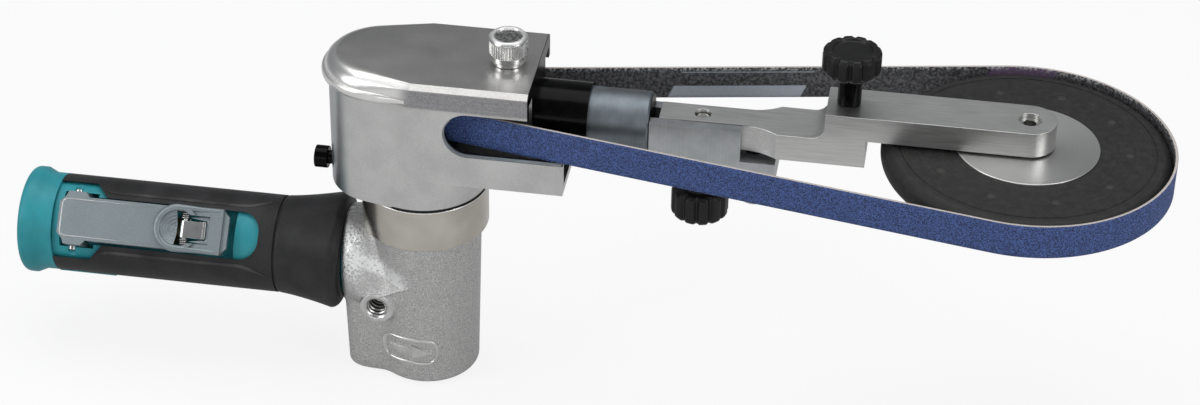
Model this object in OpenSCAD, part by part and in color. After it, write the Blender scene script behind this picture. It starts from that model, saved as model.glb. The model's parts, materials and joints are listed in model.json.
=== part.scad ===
// Right-angle belt file: an air motor with a side grip drives a narrow abrasive
// belt round a contact wheel at the end of a slim arm.
// Millimetres. Z runs up the motor axis from the flat motor base, X runs along the arm.

/* [Motor body] */
// Height of the motor body up to the collar
motor_h = 62.5; // [58:0.5:68]
// Diameter of the motor body under the collar
motor_top_d = 41; // [39.5:0.5:44]
// Diameter of the motor body at the base
motor_base_d = 38; // [36:0.5:40]
// Rounding of the base edge
base_round = 2; // [1:0.5:6]
// Thickness of the closed bottom
base_t = 4; // [3:0.5:6]
// Bore for the motor parts
motor_bore_d = 30; // [29.5:0.1:31]
// Height of the screwed neck inside the collar
thread_h = 7.5; // [6:0.5:9]
// Diameter of the screwed neck inside the collar
thread_d = 36.6; // [35:0.2:38]
// Reach of the handle boss from the motor axis
boss_reach = 29.6; // [28:0.2:32]
// Diameter of the handle boss
boss_d = 37.2; // [36:0.1:37.2]
// Width of the air duct column beside the body
column_w = 29; // [24:0.5:30]
// Reach of the column's foot behind the motor axis
column_reach = 28.2; // [26:0.1:28.6]
// Reach of the column's head behind the motor axis
column_top_reach = 29.5; // [28:0.1:29.5]
// Height of the underside of the air duct column
column_z = 1; // [0.5:0.5:6]

/* [Side handle hole] */
// Wall diameter of the threaded hole for a side handle
side_hole_d = 6.9; // [6.5:0.1:7.4]
// Depth of the threaded hole
side_hole_l = 8.5; // [7:0.5:9]
// Distance of the hole behind the motor axis
side_hole_x = 15.2; // [14:0.2:16.4]
// Height of the hole above the base
side_hole_z = 33; // [30:0.5:36]
// Diameter of the boss round the hole
side_boss_d = 12.6; // [11.5:0.1:14]
// Distance of the boss face from the middle plane
side_boss_y = 19.4; // [18.6:0.1:21]

/* [Collar] */
// Outside diameter of the plated collar
collar_d = 46.4; // [45:0.2:48]
// Visible height of the collar
collar_h = 17.3; // [14:0.1:20]
// Diameter of the swivel post above the collar
post_d = 38; // [36:0.5:40]
// Hole through the collar for the shaft
collar_bore_d = 20; // [18:0.5:21]

/* [Air motor] */
// Diameter of the rotor
rotor_d = 22; // [20:0.5:23]
// Bore of the cylinder liner
liner_bore_d = 24.4; // [24:0.1:25.2]
// Offset of the liner bore from the motor axis
liner_offset = 0.9; // [0.5:0.1:1]
// Number of rotor blades
blade_n = 4; // [3:1:6]
// Thickness of a rotor blade
blade_t = 1.6; // [1.2:0.1:2]
// Shaft diameter at the lower bearing
lower_shaft_d = 6; // [5:0.5:7]
// Outside diameter of the lower bearing
lower_bearing_d = 19; // [17:0.5:20]
// Shaft diameter at the upper bearing
upper_shaft_d = 10; // [9:0.5:11]
// Outside diameter of the upper bearing
upper_bearing_d = 22; // [21:0.5:24]
// Width of both motor bearings
motor_bearing_w = 6; // [5:0.5:7]
// Thickness of the lower end plate
lower_plate_t = 8; // [7.5:0.5:10]
// Thickness of the upper end plate
upper_plate_t = 10; // [9:0.5:12]

/* [Belt drive] */
// Width of the abrasive belt
belt_w = 12.7; // [10:0.1:14]
// Thickness of the abrasive belt
belt_t = 1; // [0.8:0.1:1.4]
// Distance from the motor axis to the contact wheel axis
wheel_spacing = 215; // [200:1:240]
// Diameter of the drive wheel
drive_d = 22.2; // [20:0.2:23]
// Width of the drive wheel
drive_w = 14; // [13:0.5:16]
// Diameter of the core in the drive wheel
drive_core_d = 16; // [14:0.5:18]
// Diameter of the contact wheel
wheel_d = 101.6; // [92:0.4:106]
// Width of the contact wheel's rubber
wheel_w = 10.2; // [9:0.2:12]
// Diameter of the contact wheel's metal hub
hub_d = 50.8; // [44:0.4:56]
// How far the hub stands proud of the rubber on each face
hub_rise = 0.6; // [0.3:0.1:0.7]
// Diameter of the contact wheel axle
axle_d = 8; // [7:0.5:9]
// Outside diameter of the contact wheel bearings
wheel_bearing_d = 16; // [14:0.5:20]
// Width of one contact wheel bearing
wheel_bearing_w = 4; // [3.5:0.1:4.6]

/* [Belt housing] */
// Depth of the neck that clamps on the swivel post
neck_h = 13; // [11:0.5:15]
// Thickness of the housing floor
floor_t = 3; // [2:0.2:4]
// Height of the belt's middle above the housing floor
belt_rise = 16.7; // [16:0.1:19]
// Room above the belt's middle, up to the roof
head_room = 14.6; // [14:0.1:17]
// Thickness of the roof
roof_t = 5.3; // [4:0.1:6]
// Thickness of the side walls
wall_t = 2.6; // [2:0.1:3]
// Radius of the rounded back of the housing
back_r = 20; // [19:0.2:21]
// Distance of the rounded back's centre behind the motor axis
back_x = 14; // [12:0.5:16]
// How far the roof's rim stands out at the back
rim_out = 1.3; // [0.6:0.1:2.4]
// Depth of the roof's rounding at the back
rim_round = 5.5; // [4:0.5:6]
// Reach of the roof from the motor axis
roof_reach = 42; // [39:0.5:44]
// Reach of the lower flange from the motor axis
flange_reach = 54.5; // [50:0.5:57]
// Start of the belt slot from the motor axis
slot_x = 11.5; // [10:0.5:13]
// Height of the belt slot above the belt's middle
slot_over = 10.2; // [8.5:0.1:10.6]
// Depth of the belt slot below the belt's middle
slot_under = 7.4; // [7.1:0.1:9]

/* [Tension slide] */
// Outside diameter of the black guide tube
guide_d = 24.8; // [24:0.2:25.4]
// Reach of the guide tube from the motor axis
guide_reach = 61; // [58:0.5:66]
// Diameter of the sliding shank
shank_d = 22.2; // [21.4:0.2:22.6]
// Start of the shank from the motor axis
shank_x = 27; // [26.4:0.2:28]
// End of the round shank from the motor axis
shank_reach = 82.8; // [80:0.2:86]
// Travel of the slide when a belt is changed
tension_travel = 9; // [6:0.5:9.4]
// Bore of the shank for the tension spring
spring_bore_d = 15; // [13:0.5:16]
// Depth of the spring bore
spring_bore_l = 26; // [22:0.5:30]

/* [Fork] */
// Width of the fork block
fork_w = 20; // [19:0.2:21]
// End of the fork's side walls past the tracking knob
fork_past = 14.6; // [12:0.1:14.8]
// End of the fork's floor tongue past the tracking knob
tongue_past = 27.1; // [25.5:0.1:30]
// Thickness of the fork's floor
fork_floor_t = 10.4; // [8:0.2:12]
// Gap under the arm that lets it tilt
tilt_gap = 2.2; // [1.8:0.1:3]

/* [Contact arm] */
// Width of the arm
arm_w = 19.05; // [17:0.05:21]
// Thickness of the arm's lower level
arm_low_t = 10.2; // [8:0.1:11]
// Thickness of the arm's raised level
arm_high_t = 9.6; // [8:0.1:11]
// Gap between the arm's raised level and the wheel hub
hub_gap = 0.7; // [0.5:0.1:1.5]
// Drop from the arm's raised underside to the top of its lower level
arm_step = 0.6; // [0.2:0.1:1.5]
// Start of the tang past the end of the round shank
tang_past = 3; // [2.2:0.1:5]
// Width of the tang between the fork walls
tang_w = 11.1; // [10:0.1:11.6]
// Start of the milled shoulders past the tracking knob
shoulder_past = 15.5; // [15.1:0.1:17]
// Radius of the milled shoulders
shoulder_r = 19; // [14:0.5:24]
// Length of the step, back from the end of the lower level
step_l = 14.7; // [12:0.1:18]
// Fillet at the foot of the step
step_fillet = 5; // [3:0.2:6]
// Gap between the end of the lower level and the contact wheel's rim
low_clear = 4.9; // [3:0.1:8]

/* [Knobs] */
// Diameter of the fluted knobs
knob_d = 20.7; // [18:0.1:23]
// Number of flutes on a knob
knob_flutes = 12; // [8:1:16]
// Height of the arm knob
arm_knob_h = 9; // [7:0.5:12]
// Distance of the arm knob back from the end of the arm's lower level
arm_knob_back = 7.3; // [6:0.1:9]
// Diameter of the sleeve under the arm knob
sleeve_d = 8.4; // [7.4:0.2:10]
// Height of the sleeve under the arm knob
sleeve_h = 12.4; // [9:0.2:16]
// Height of the tracking knob
track_knob_h = 11.5; // [9:0.5:14]
// Place of the tracking knob past the end of the round shank
track_knob_past = 18.1; // [15.2:0.1:20.2]
// Diameter of the tracking stud
stud_d = 5; // [4:0.1:5.4]
// Height of the bare neck between the fork and the tracking knob
track_neck_h = 7.2; // [5:0.2:9]
// Diameter of the knurled tension lock knob
lock_knob_d = 14; // [12:0.2:16]
// Height of the knurled tension lock knob
lock_knob_h = 9; // [7:0.2:11]
// Place of the tension lock knob from the motor axis
lock_knob_x = 31; // [30.6:0.1:32]

/* [Handle] */
// Height of the handle axis above the base
handle_z = 44; // [40:0.5:47]
// Distance of the hand guard's end from the motor axis
guard_start = 30; // [29.8:0.1:33]
// Length of the hand guard
guard_l = 24.4; // [20:0.2:28]
// Diameter of the hand guard's flared end
guard_d = 43.6; // [40:0.2:46]
// Length of the rubber grip
grip_l = 84; // [80:0.5:95]
// Outside diameter of the rubber grip
grip_d = 36.4; // [36:0.2:38]
// Outside diameter of the handle core
core_d = 33.6; // [33:0.2:34.4]
// Length of the end cap
cap_l = 13; // [11.4:0.2:16]
// Diameter of the end cap's rim
cap_d = 39.8; // [38.4:0.2:42]
// Turn of the lever from the top of the handle towards the user
lever_turn = 50; // [30:1:70]
// Width of the opening in the grip along the lever
window_w = 17.8; // [17.4:0.1:19]
// Bore of the air inlet thread
inlet_bore_d = 11.2; // [10.4:0.1:11.8]

/* [Throttle lever] */
// Length of the throttle lever
lever_l = 64.5; // [62:0.5:70]
// Width of the throttle lever
lever_w = 16; // [14.6:0.1:16.6]
// Width of the lever across its pivot ears
lever_ear_w = 19.8; // [19:0.1:20.2]
// Thickness of the lever's steel
lever_t = 1.5; // [1:0.1:1.8]
// Height of the lever's top face above the handle axis
lever_rise = 20.7; // [20:0.1:22]
// Diameter of the lever's pivot pin
lever_pin_d = 3; // [2.5:0.1:3.4]
// Diameter of the D-shaped cup on the lever
cup_d = 17; // [16:0.2:17.2]
// Height of the cup above the lever's top face
cup_h = 1.9; // [1.2:0.1:2.6]
// Diameter of the latch pin
latch_pin_d = 2; // [1.6:0.1:2.2]
// Width of the lock-off latch
latch_w = 6.4; // [5.6:0.1:6.6]
// Diameter of the valve stem
stem_d = 4; // [3:0.1:4.6]

/* [Hidden] */

$fn = 64;

// Overrun of every cut past the face that it opens
cut = 1;
// Gap between parts of one body that fit together
fit = 0.06;
// Radial gap of a turning shaft or pin in its hole
run = 0.04;
// Gap between parts that move past each other
free = 0.35;
// Gap between faces that meet without pressing
seat = 0.1;

// Motor stack
collar_gap = 0.2;
collar_z = motor_h + collar_gap;
collar_top = collar_z + collar_h;
neck_z = collar_top + free;
floor_z = neck_z + neck_h;
floor_top = floor_z + floor_t;
belt_z = floor_top + belt_rise;
roof_z = belt_z + head_room;
top_z = roof_z + roof_t;
thread_top = motor_h + thread_h;
lower_plate_z = base_t + seat;
liner_z = lower_plate_z + lower_plate_t;
upper_plate_z = thread_top - upper_plate_t;
post_top = floor_z - free;
plate_r = motor_bore_d / 2 - fit;
rotor_gap = 0.3;
blade_root_share = 0.56;
blade_proud = 0.08;
blade_gap = 0.05;
shaft_pocket = 1.4;

// Belt drive
wheel_gap = 0.25;
drive_top = belt_z + drive_w / 2;
shaft_step = 2;
wheel_seat_d = upper_shaft_d - shaft_step;
wheel_seat_z = belt_z - drive_w / 2;
belt_in_drive = drive_d / 2 + wheel_gap;
belt_in_wheel = wheel_d / 2 + wheel_gap;
hub_top = belt_z + wheel_w / 2 + hub_rise;
hub_bottom = belt_z - wheel_w / 2 - hub_rise;

// Handle stations, measured along the handle from the motor axis
guard_x = -guard_start;
seam_gap = 0.4;
seam_x = guard_x - guard_l;
grip_x = seam_x - seam_gap - grip_l;
cap_x = grip_x - seat;
cap_end_x = cap_x - cap_l;
core_x = -boss_reach - seat;

// Lever stations, along the handle
pivot_inset = 7.4;
pivot_x = grip_x + pivot_inset;
pivot_z = 12;
lever_back = 4.3;
lever_x = pivot_x - lever_back;
lever_end_x = lever_x + lever_l;
lever_under = lever_rise - lever_t;
ear_l = 11;
flange_drop = 3.8;
cup_back = 19;
cup_x = lever_end_x - cup_back;
cup_wall = 1.6;
latch_inset = 2;
latch_x = cup_x + latch_inset;
latch_pin_room = 0.2;
latch_z = lever_under - latch_pin_d / 2 - latch_pin_room;
stem_back = 24;
stem_x = lever_end_x - stem_back;
pocket_z = 8.5;

// A tube standing on z = 0
module pipe(d_out, d_in, h) {
    difference() {
        cylinder(d = d_out, h = h);
        translate([0, 0, -cut]) cylinder(d = d_in, h = h + 2 * cut);
    }
}

// Stands children, drawn along z, along +x from the place x on the belt's middle
module along_arm(x) {
    translate([x, 0, belt_z]) rotate([0, 90, 0]) children();
}

// Stands children, drawn along z, along +x from the place x on the handle axis
module along_handle(x) {
    translate([x, 0, handle_z]) rotate([0, 90, 0]) children();
}

// Lays children in the lever's frame: x along the handle, z out of the handle
module on_lever() {
    translate([0, 0, handle_z]) rotate([lever_turn, 0, 0]) children();
}

// A round bar across the lever's frame, centred on the middle plane
module cross_bar(x, z, d, l) {
    translate([x, l / 2, z]) rotate([90, 0, 0]) cylinder(d = d, h = l);
}

// A box between two corners
module block(low, high) {
    translate(low) cube(high - low);
}

// Outline round two circles, one at the start and one further along x
module belt_outline(r_start, r_end, span) {
    lean = asin((r_end - r_start) / span);
    side = [-sin(lean), cos(lean)];
    other = [side[0], -side[1]];
    circle(r = r_start);
    translate([span, 0]) circle(r = r_end);
    polygon([r_start * side, [span, 0] + r_end * side, [span, 0] + r_end * other, r_start * other]);
}

// Points along the middle of a coil that climbs along z
coil_rings = 8;
coil_sides = 6;
function coil_path(r, pitch, turns) = [
    for (i = [0 : coil_rings * turns])
        let (turn = i / coil_rings)
        [r * cos(360 * turn), r * sin(360 * turn), pitch * turn]
];
// Least clear gap between one turn of a coil and the next
function coil_gap(path, wire_d) = min([
    for (i = [0 : len(path) - 1])
        for (j = [i + coil_rings - 1 : 1 : len(path) - 1])
            norm(path[i] - path[j])
]) - wire_d;
// Points of the ring of wire round one point of a coil
function coil_ring(p, wire_d) = let (out = [p[0], p[1], 0] / norm([p[0], p[1]])) [
    for (s = [0 : coil_sides - 1])
        let (a = 360 * s / coil_sides)
        p + wire_d / 2 * (cos(a) * out + [0, 0, sin(a)])
];

// A wound spring: one unbroken wire from z = 0, cut square at both ends
module coil(d_mid, wire_d, length, turns) {
    pitch = length / turns;
    path = coil_path(d_mid / 2, pitch, turns);
    echo(str("least gap of a coil to itself: ", coil_gap(path, wire_d), " mm"));
    last = len(path) - 1;
    skin = [for (i = [0 : last - 1]) for (s = [0 : coil_sides - 1])
        let (a = i * coil_sides + s, b = i * coil_sides + (s + 1) % coil_sides)
        each [[a, a + coil_sides, b], [b, a + coil_sides, b + coil_sides]]];
    ends = [for (s = [1 : coil_sides - 2])
        each [[0, s, s + 1],
            [last * coil_sides, last * coil_sides + s + 1, last * coil_sides + s]]];
    polyhedron([for (p = path) each coil_ring(p, wire_d)], concat(skin, ends));
}

// Motor

// Half section of the motor body with its rounded base edge
module motor_section() {
    base_r = motor_base_d / 2;
    inner_r = base_r - base_round;
    polygon([[0, 0], [inner_r, 0], [base_r, base_round], [motor_top_d / 2, motor_h], [0, motor_h]]);
    translate([inner_r, base_round]) circle(r = base_round);
}

column_corner = 5;
column_in = 8;
column_drop = 4;
column_head_z = handle_z - column_drop;

// The lobe beside the body that carries the air duct, wider and further back at its head
module duct_column() {
    corner_y = column_w / 2 - column_corner;
    hull() {
        for (side = [-1, 1]) {
            translate([column_corner - column_reach, side * corner_y, column_z + column_corner])
                sphere(r = column_corner, $fn = 32);
            translate([column_corner - column_top_reach, side * corner_y, column_head_z])
                cylinder(r = column_corner, h = cut, $fn = 32);
        }
        translate([-column_in, 0, column_z]) cylinder(d = column_w, h = column_head_z - column_z, $fn = 32);
    }
}

coupling_d = 18;
duct_wall = 3;
duct_d = 8;
coupling_x = -(motor_bore_d / 2 + duct_wall);

module motor_housing() {
    color("silver") difference() {
        union() {
            rotate_extrude() motor_section();
            cylinder(d = thread_d, h = thread_top);
            translate([-boss_reach, 0, handle_z]) rotate([0, 90, 0]) cylinder(d = boss_d, h = boss_reach);
            duct_column();
            translate([-side_hole_x, 0, side_hole_z]) rotate([90, 0, 0])
                cylinder(d = side_boss_d, h = side_boss_y);
        }
        translate([0, 0, base_t]) cylinder(d = motor_bore_d, h = thread_top);
        translate([-boss_reach - cut, 0, handle_z]) rotate([0, 90, 0])
            cylinder(d = coupling_d, h = boss_reach + cut + coupling_x);
        translate([coupling_x - cut, 0, handle_z]) rotate([0, 90, 0])
            cylinder(d = duct_d, h = duct_wall + cut + plate_r / 2);
        translate([-side_hole_x, side_hole_l - side_boss_y, side_hole_z]) rotate([90, 0, 0])
            cylinder(d = side_hole_d, h = side_hole_l + cut);
    }
}

module lock_collar() {
    color("tan") difference() {
        union() {
            translate([0, 0, collar_z]) cylinder(d = collar_d, h = collar_h);
            translate([0, 0, collar_z]) cylinder(d = post_d, h = post_top - collar_z);
        }
        translate([0, 0, collar_z - cut])
            cylinder(d = thread_d + 2 * fit, h = thread_top + seat - collar_z + cut);
        translate([0, 0, collar_z]) cylinder(d = collar_bore_d, h = post_top);
    }
}

module cylinder_liner() {
    color("dimgray") translate([0, 0, liner_z + seat]) difference() {
        cylinder(r = plate_r, h = upper_plate_z - liner_z - 2 * seat);
        translate([0, liner_offset, -cut]) cylinder(d = liner_bore_d, h = upper_plate_z);
        translate([0, 0, handle_z - liner_z]) rotate([0, -90, 0]) cylinder(d = duct_d, h = motor_bore_d);
    }
}

module lower_end_plate() {
    color("gray") translate([0, 0, lower_plate_z]) difference() {
        cylinder(r = plate_r, h = lower_plate_t);
        translate([0, 0, -cut]) cylinder(d = lower_shaft_d + shaft_pocket, h = lower_plate_t + 2 * cut);
        translate([0, 0, -cut]) cylinder(d = lower_bearing_d, h = motor_bearing_w + cut);
    }
}

module upper_end_plate() {
    color("gray") translate([0, 0, upper_plate_z]) difference() {
        cylinder(r = plate_r, h = upper_plate_t);
        translate([0, 0, -cut]) cylinder(d = upper_shaft_d + shaft_pocket, h = upper_plate_t + 2 * cut);
        translate([0, 0, upper_plate_t - motor_bearing_w])
            cylinder(d = upper_bearing_d, h = motor_bearing_w + cut);
    }
}

// A ball bearing: two races with a shallow groove for the shields on each face
shield_depth = 0.4;
shield_in_share = 0.3;
shield_out_share = 0.7;
module ball_bearing(d_out, d_in, w) {
    wall = (d_out - d_in) / 2;
    difference() {
        pipe(d_out, d_in, w);
        for (z = [-cut, w - shield_depth])
            translate([0, 0, z]) pipe(d_in + 2 * wall * shield_out_share,
                d_in + 2 * wall * shield_in_share, shield_depth + cut);
    }
}

module lower_bearing() {
    color("lightsteelblue") translate([0, 0, lower_plate_z])
        ball_bearing(lower_bearing_d - 2 * fit, lower_shaft_d + 2 * run, motor_bearing_w - seat);
}

module upper_bearing() {
    color("lightsteelblue") translate([0, 0, thread_top - motor_bearing_w + seat])
        ball_bearing(upper_bearing_d - 2 * fit, upper_shaft_d + 2 * run, motor_bearing_w - seat);
}

seal_h = 5;
seal_drop = 2;
module shaft_seal() {
    color("black") translate([0, 0, post_top - seal_drop - seal_h])
        pipe(collar_bore_d - 2 * fit, upper_shaft_d + 2 * free, seal_h);
}

rotor_z = liner_z + rotor_gap;
rotor_top = upper_plate_z - rotor_gap;
rotor_foot = base_t + seat + free;
module rotor() {
    color("slategray") difference() {
        union() {
            translate([0, 0, rotor_foot]) cylinder(d = lower_shaft_d, h = rotor_z - rotor_foot);
            translate([0, 0, rotor_z]) cylinder(d = rotor_d, h = rotor_top - rotor_z);
            translate([0, 0, rotor_z]) cylinder(d = upper_shaft_d, h = wheel_seat_z - rotor_z);
            translate([0, 0, rotor_z]) cylinder(d = wheel_seat_d, h = drive_top - seat - rotor_z);
        }
        for (i = [0 : blade_n - 1])
            rotate(360 * i / blade_n)
                block([blade_root_share * rotor_d / 2, -blade_t / 2 - blade_gap, rotor_z - cut],
                    [rotor_d, blade_t / 2 + blade_gap, rotor_top + cut]);
        translate([0, 0, drive_top - screw_l]) cylinder(d = drive_screw_d, h = screw_l);
    }
}

module rotor_blades() {
    color("saddlebrown")
        for (i = [0 : blade_n - 1])
            rotate(360 * i / blade_n)
                block([blade_root_share * rotor_d / 2 + blade_gap, -blade_t / 2, rotor_z],
                    [rotor_d / 2 + blade_proud, blade_t / 2, rotor_top]);
}

// Drive wheel

drive_screw_d = 4;
screw_l = 10;
drive_head_d = 10;
drive_head_h = 3;

module drive_wheel_core() {
    color("lightgray") translate([0, 0, wheel_seat_z + seat])
        pipe(drive_core_d, wheel_seat_d + 2 * fit, drive_w - seat);
}

module drive_wheel_tyre() {
    color("darkslategray") translate([0, 0, wheel_seat_z])
        pipe(drive_d, drive_core_d + 2 * fit, drive_w);
}

module drive_wheel_screw() {
    color("gray") difference() {
        union() {
            translate([0, 0, drive_top + seat]) cylinder(d = drive_head_d, h = drive_head_h);
            translate([0, 0, drive_top - screw_l + seat])
                cylinder(d = drive_screw_d - 2 * fit, h = screw_l + seat);
        }
        translate([0, 0, drive_top + drive_head_h / 2])
            cylinder(d = drive_screw_d, h = drive_head_h, $fn = 6);
    }
}

// Belt housing

neck_r = collar_d / 2;
back_point = [-back_x, 0];
boss_block_w = 26.8;
boss_back_t = 2.4;
boss_x = shank_x - tension_travel - free - boss_back_t;
post_hole_d = post_d + 2 * run;
clamp_d = 5;
clamp_drop = 2;
clamp_z = neck_z + neck_h / 2 - clamp_drop;
clamp_head_d = 8.2;
clamp_head_h = 4.9;
clamp_stand = 1.7;

// Plan of the housing wall, drawn in by the amount inset, out to the reach
module wall_plan(inset, reach) {
    wide_r = neck_r - inset;
    tail_r = back_r - inset;
    translate(back_point) belt_outline(tail_r, wide_r, back_x);
    translate([0, -wide_r]) square([reach, 2 * wide_r]);
}

rim_h = 9;
rim_z = top_z - rim_h;
rim_in = 6.8;
// Rounding of the roof's long edges, across and down
edge_w = 2.2;
edge_h = 1.5;
round_step = 15;

// Disc at the back of the roof, deeply rounded at its upper edge
module rim_disc() {
    rim_r = back_r + rim_out;
    rotate_extrude() polygon(concat([[0, 0], [rim_r, 0]],
        [for (a = [0 : round_step : 90]) [rim_r - rim_in * (1 - cos(a)), rim_h - rim_round * (1 - sin(a))]],
        [[0, rim_h]]));
}

// Roof: a flat with a rim that is deeply rounded at the back and plain along the sides
module roof() {
    hull() {
        translate([-back_x, 0, rim_z]) rim_disc();
        block([0, edge_w - neck_r, rim_z], [roof_reach, neck_r - edge_w, top_z]);
        block([0, -neck_r, rim_z], [roof_reach, neck_r, top_z - edge_h]);
    }
}

module belt_housing() {
    slot_h = slot_over + slot_under;
    slot_low = belt_z - slot_under;
    color("gainsboro") difference() {
        union() {
            difference() {
                union() {
                    translate([0, 0, neck_z]) linear_extrude(rim_z + cut - neck_z)
                        wall_plan(0, flange_reach);
                    roof();
                }
                translate([0, 0, floor_top]) linear_extrude(roof_z - floor_top)
                    wall_plan(wall_t, flange_reach + cut);
            }
            block([boss_x, -boss_block_w / 2, floor_z], [roof_reach, boss_block_w / 2, roof_z + cut]);
        }
        // Only the neck reaches below the floor, and the roof stops short of the flange
        difference() {
            translate([0, -2 * neck_r, neck_z - cut])
                cube([flange_reach + cut, 4 * neck_r, floor_z - neck_z + cut]);
            translate([0, 0, neck_z - 2 * cut]) cylinder(r = neck_r, h = neck_h + 3 * cut);
        }
        block([roof_reach, -2 * neck_r, slot_low], [flange_reach + cut, 2 * neck_r, top_z + cut]);
        // Belt slots through both side walls
        for (side = [-1, 1])
            scale([1, side, 1]) translate([0, 0, slot_low]) {
                translate([slot_x + slot_h / 2, boss_block_w / 2, slot_h / 2]) rotate([-90, 0, 0])
                    cylinder(d = slot_h, h = neck_r);
                translate([slot_x + slot_h / 2, boss_block_w / 2, 0])
                    cube([flange_reach, neck_r, slot_h]);
            }
        translate([0, 0, neck_z - cut]) cylinder(d = post_hole_d, h = neck_h + cut);
        translate([0, 0, floor_z - cut]) cylinder(d = collar_bore_d, h = floor_t + 2 * cut);
        along_arm(boss_x + boss_back_t) cylinder(d = guide_d + 2 * fit, h = flange_reach);
        translate([lock_knob_x, 0, belt_z]) cylinder(d = lock_pin_d + 2 * run, h = head_room + roof_t + cut);
        translate([-back_x, 0, clamp_z]) rotate([0, -90, 0])
            cylinder(d = clamp_d + 2 * fit, h = back_x + back_r);
    }
}

module clamp_screw() {
    tip = post_d / 2 + free;
    head = back_x + back_r + clamp_stand;
    color("dimgray") translate([-tip, 0, clamp_z]) rotate([0, -90, 0]) difference() {
        union() {
            cylinder(d = clamp_d, h = head - tip + cut);
            translate([0, 0, head - tip]) cylinder(d = clamp_head_d, h = clamp_head_h);
        }
        translate([0, 0, head - tip + clamp_head_h / 2])
            cylinder(d = clamp_d, h = clamp_head_h, $fn = 6);
    }
}

guide_x = boss_x + boss_back_t + seat;
module guide_tube() {
    color("black") difference() {
        along_arm(guide_x) pipe(guide_d, shank_d + 2 * run, guide_reach - guide_x);
        translate([lock_knob_x, 0, belt_z]) cylinder(d = lock_pin_d + 2 * free, h = guide_d);
    }
}

spring_wire_d = 1.6;
spring_turns = 7;
module tension_spring() {
    bottom = shank_x + spring_bore_l;
    span = bottom - guide_x - 2 * seat;
    color("lightslategray") along_arm(guide_x + seat + spring_wire_d / 2)
        coil(spring_bore_d - spring_wire_d - 2 * free, spring_wire_d, span - spring_wire_d, spring_turns);
}

lock_pin_d = 5;
lock_neck_d = 10.8;
lock_neck_h = 1.7;
lock_ridges = 30;
ridge_depth = 0.4;
lock_recess_share = 0.7;
lock_recess_h = 0.6;
crown_in = 0.6;
lock_chamfer = 0.8;
module tension_lock_knob() {
    foot = top_z + seat + lock_neck_h;
    tip = belt_z + shank_d / 2 + free;
    rim = lock_knob_d / 2;
    color("whitesmoke") translate([lock_knob_x, 0, 0]) difference() {
        union() {
            translate([0, 0, tip]) cylinder(d = lock_pin_d, h = foot - tip + cut);
            translate([0, 0, top_z + seat]) cylinder(d = lock_neck_d, h = lock_neck_h + cut);
            translate([0, 0, foot]) linear_extrude(lock_knob_h - lock_chamfer) polygon([
                for (i = [0 : 2 * lock_ridges - 1])
                    let (r = rim - ridge_depth * (i % 2), a = 180 * i / lock_ridges)
                    [r * cos(a), r * sin(a)]
            ]);
            translate([0, 0, foot + lock_knob_h - lock_chamfer])
                cylinder(r1 = rim - crown_in, r2 = rim - crown_in - lock_chamfer, h = lock_chamfer);
        }
        translate([0, 0, foot + lock_knob_h - lock_recess_h])
            cylinder(d = lock_knob_d * lock_recess_share, h = lock_recess_h + cut);
    }
}

// Fork, tracking and arm

arm_high_z = hub_top + hub_gap;
arm_top = arm_high_z + arm_high_t;
arm_low_top = arm_high_z - arm_step;
arm_low_z = arm_low_top - arm_low_t;
fork_floor_top = arm_low_z - tilt_gap;
fork_bottom = fork_floor_top - fork_floor_t;
fork_wall_top = arm_low_top;
tang_x = shank_reach + tang_past;
track_knob_x = shank_reach + track_knob_past;
fork_reach = track_knob_x + fork_past;
tongue_reach = track_knob_x + tongue_past;
shoulder_x = track_knob_x + shoulder_past;
low_reach = wheel_spacing - wheel_d / 2 - low_clear;
step_x = low_reach - step_l;
arm_knob_x = low_reach - arm_knob_back;
channel_w = tang_w + 2 * free;
end_margin = 4;
rocker_x = tang_x + end_margin;
spring_pocket_x = shoulder_x + end_margin;
spring_pocket_d = 8.4;
pocket_l = 7;
track_screw_d = 5;
track_head_d = 10;
track_head_h = 10.3;
shank_chamfer = 0.8;
far_drop = 3;
lock_notch_l = 3;

module tension_fork() {
    color("lightsteelblue") difference() {
        union() {
            along_arm(shank_x) cylinder(d = shank_d, h = shank_reach - shank_x - shank_chamfer);
            along_arm(shank_reach - shank_chamfer)
                cylinder(d1 = shank_d, d2 = shank_d - 2 * shank_chamfer, h = shank_chamfer);
            block([shank_reach - shank_chamfer, -fork_w / 2, fork_bottom],
                [fork_reach, fork_w / 2, fork_wall_top]);
            block([fork_reach - cut, -fork_w / 2, fork_bottom], [tongue_reach, fork_w / 2, fork_floor_top]);
        }
        block([shank_reach, -channel_w / 2, fork_floor_top], [tongue_reach + cut, channel_w / 2, arm_top]);
        // The far wall stays below the near one
        block([shank_reach, 0, fork_wall_top - far_drop], [fork_reach + cut, fork_w, arm_top]);
        along_arm(shank_x - cut) cylinder(d = spring_bore_d, h = spring_bore_l + cut);
        translate([lock_knob_x + tension_travel, 0, belt_z + shank_d / 2 - lock_notch_l])
            cylinder(d = lock_pin_d + 2 * free, h = shank_d);
        translate([track_knob_x, 0, fork_bottom - cut])
            cylinder(d = stud_d + 2 * run, h = fork_floor_t + 2 * cut);
        translate([spring_pocket_x, 0, fork_floor_top - pocket_l])
            cylinder(d = spring_pocket_d, h = pocket_l + cut);
        translate([spring_pocket_x, 0, fork_bottom - cut])
            cylinder(d = track_screw_d + 2 * fit, h = fork_floor_t + 2 * cut);
    }
}

track_wire_d = 0.9;
track_turns = 4;
module tracking_spring() {
    foot = fork_floor_top - pocket_l + seat;
    span = arm_low_z - free - foot;
    color("gray") translate([spring_pocket_x, 0, foot + track_wire_d / 2])
        coil(spring_pocket_d - track_wire_d - 2 * free, track_wire_d, span - track_wire_d, track_turns);
}

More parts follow.
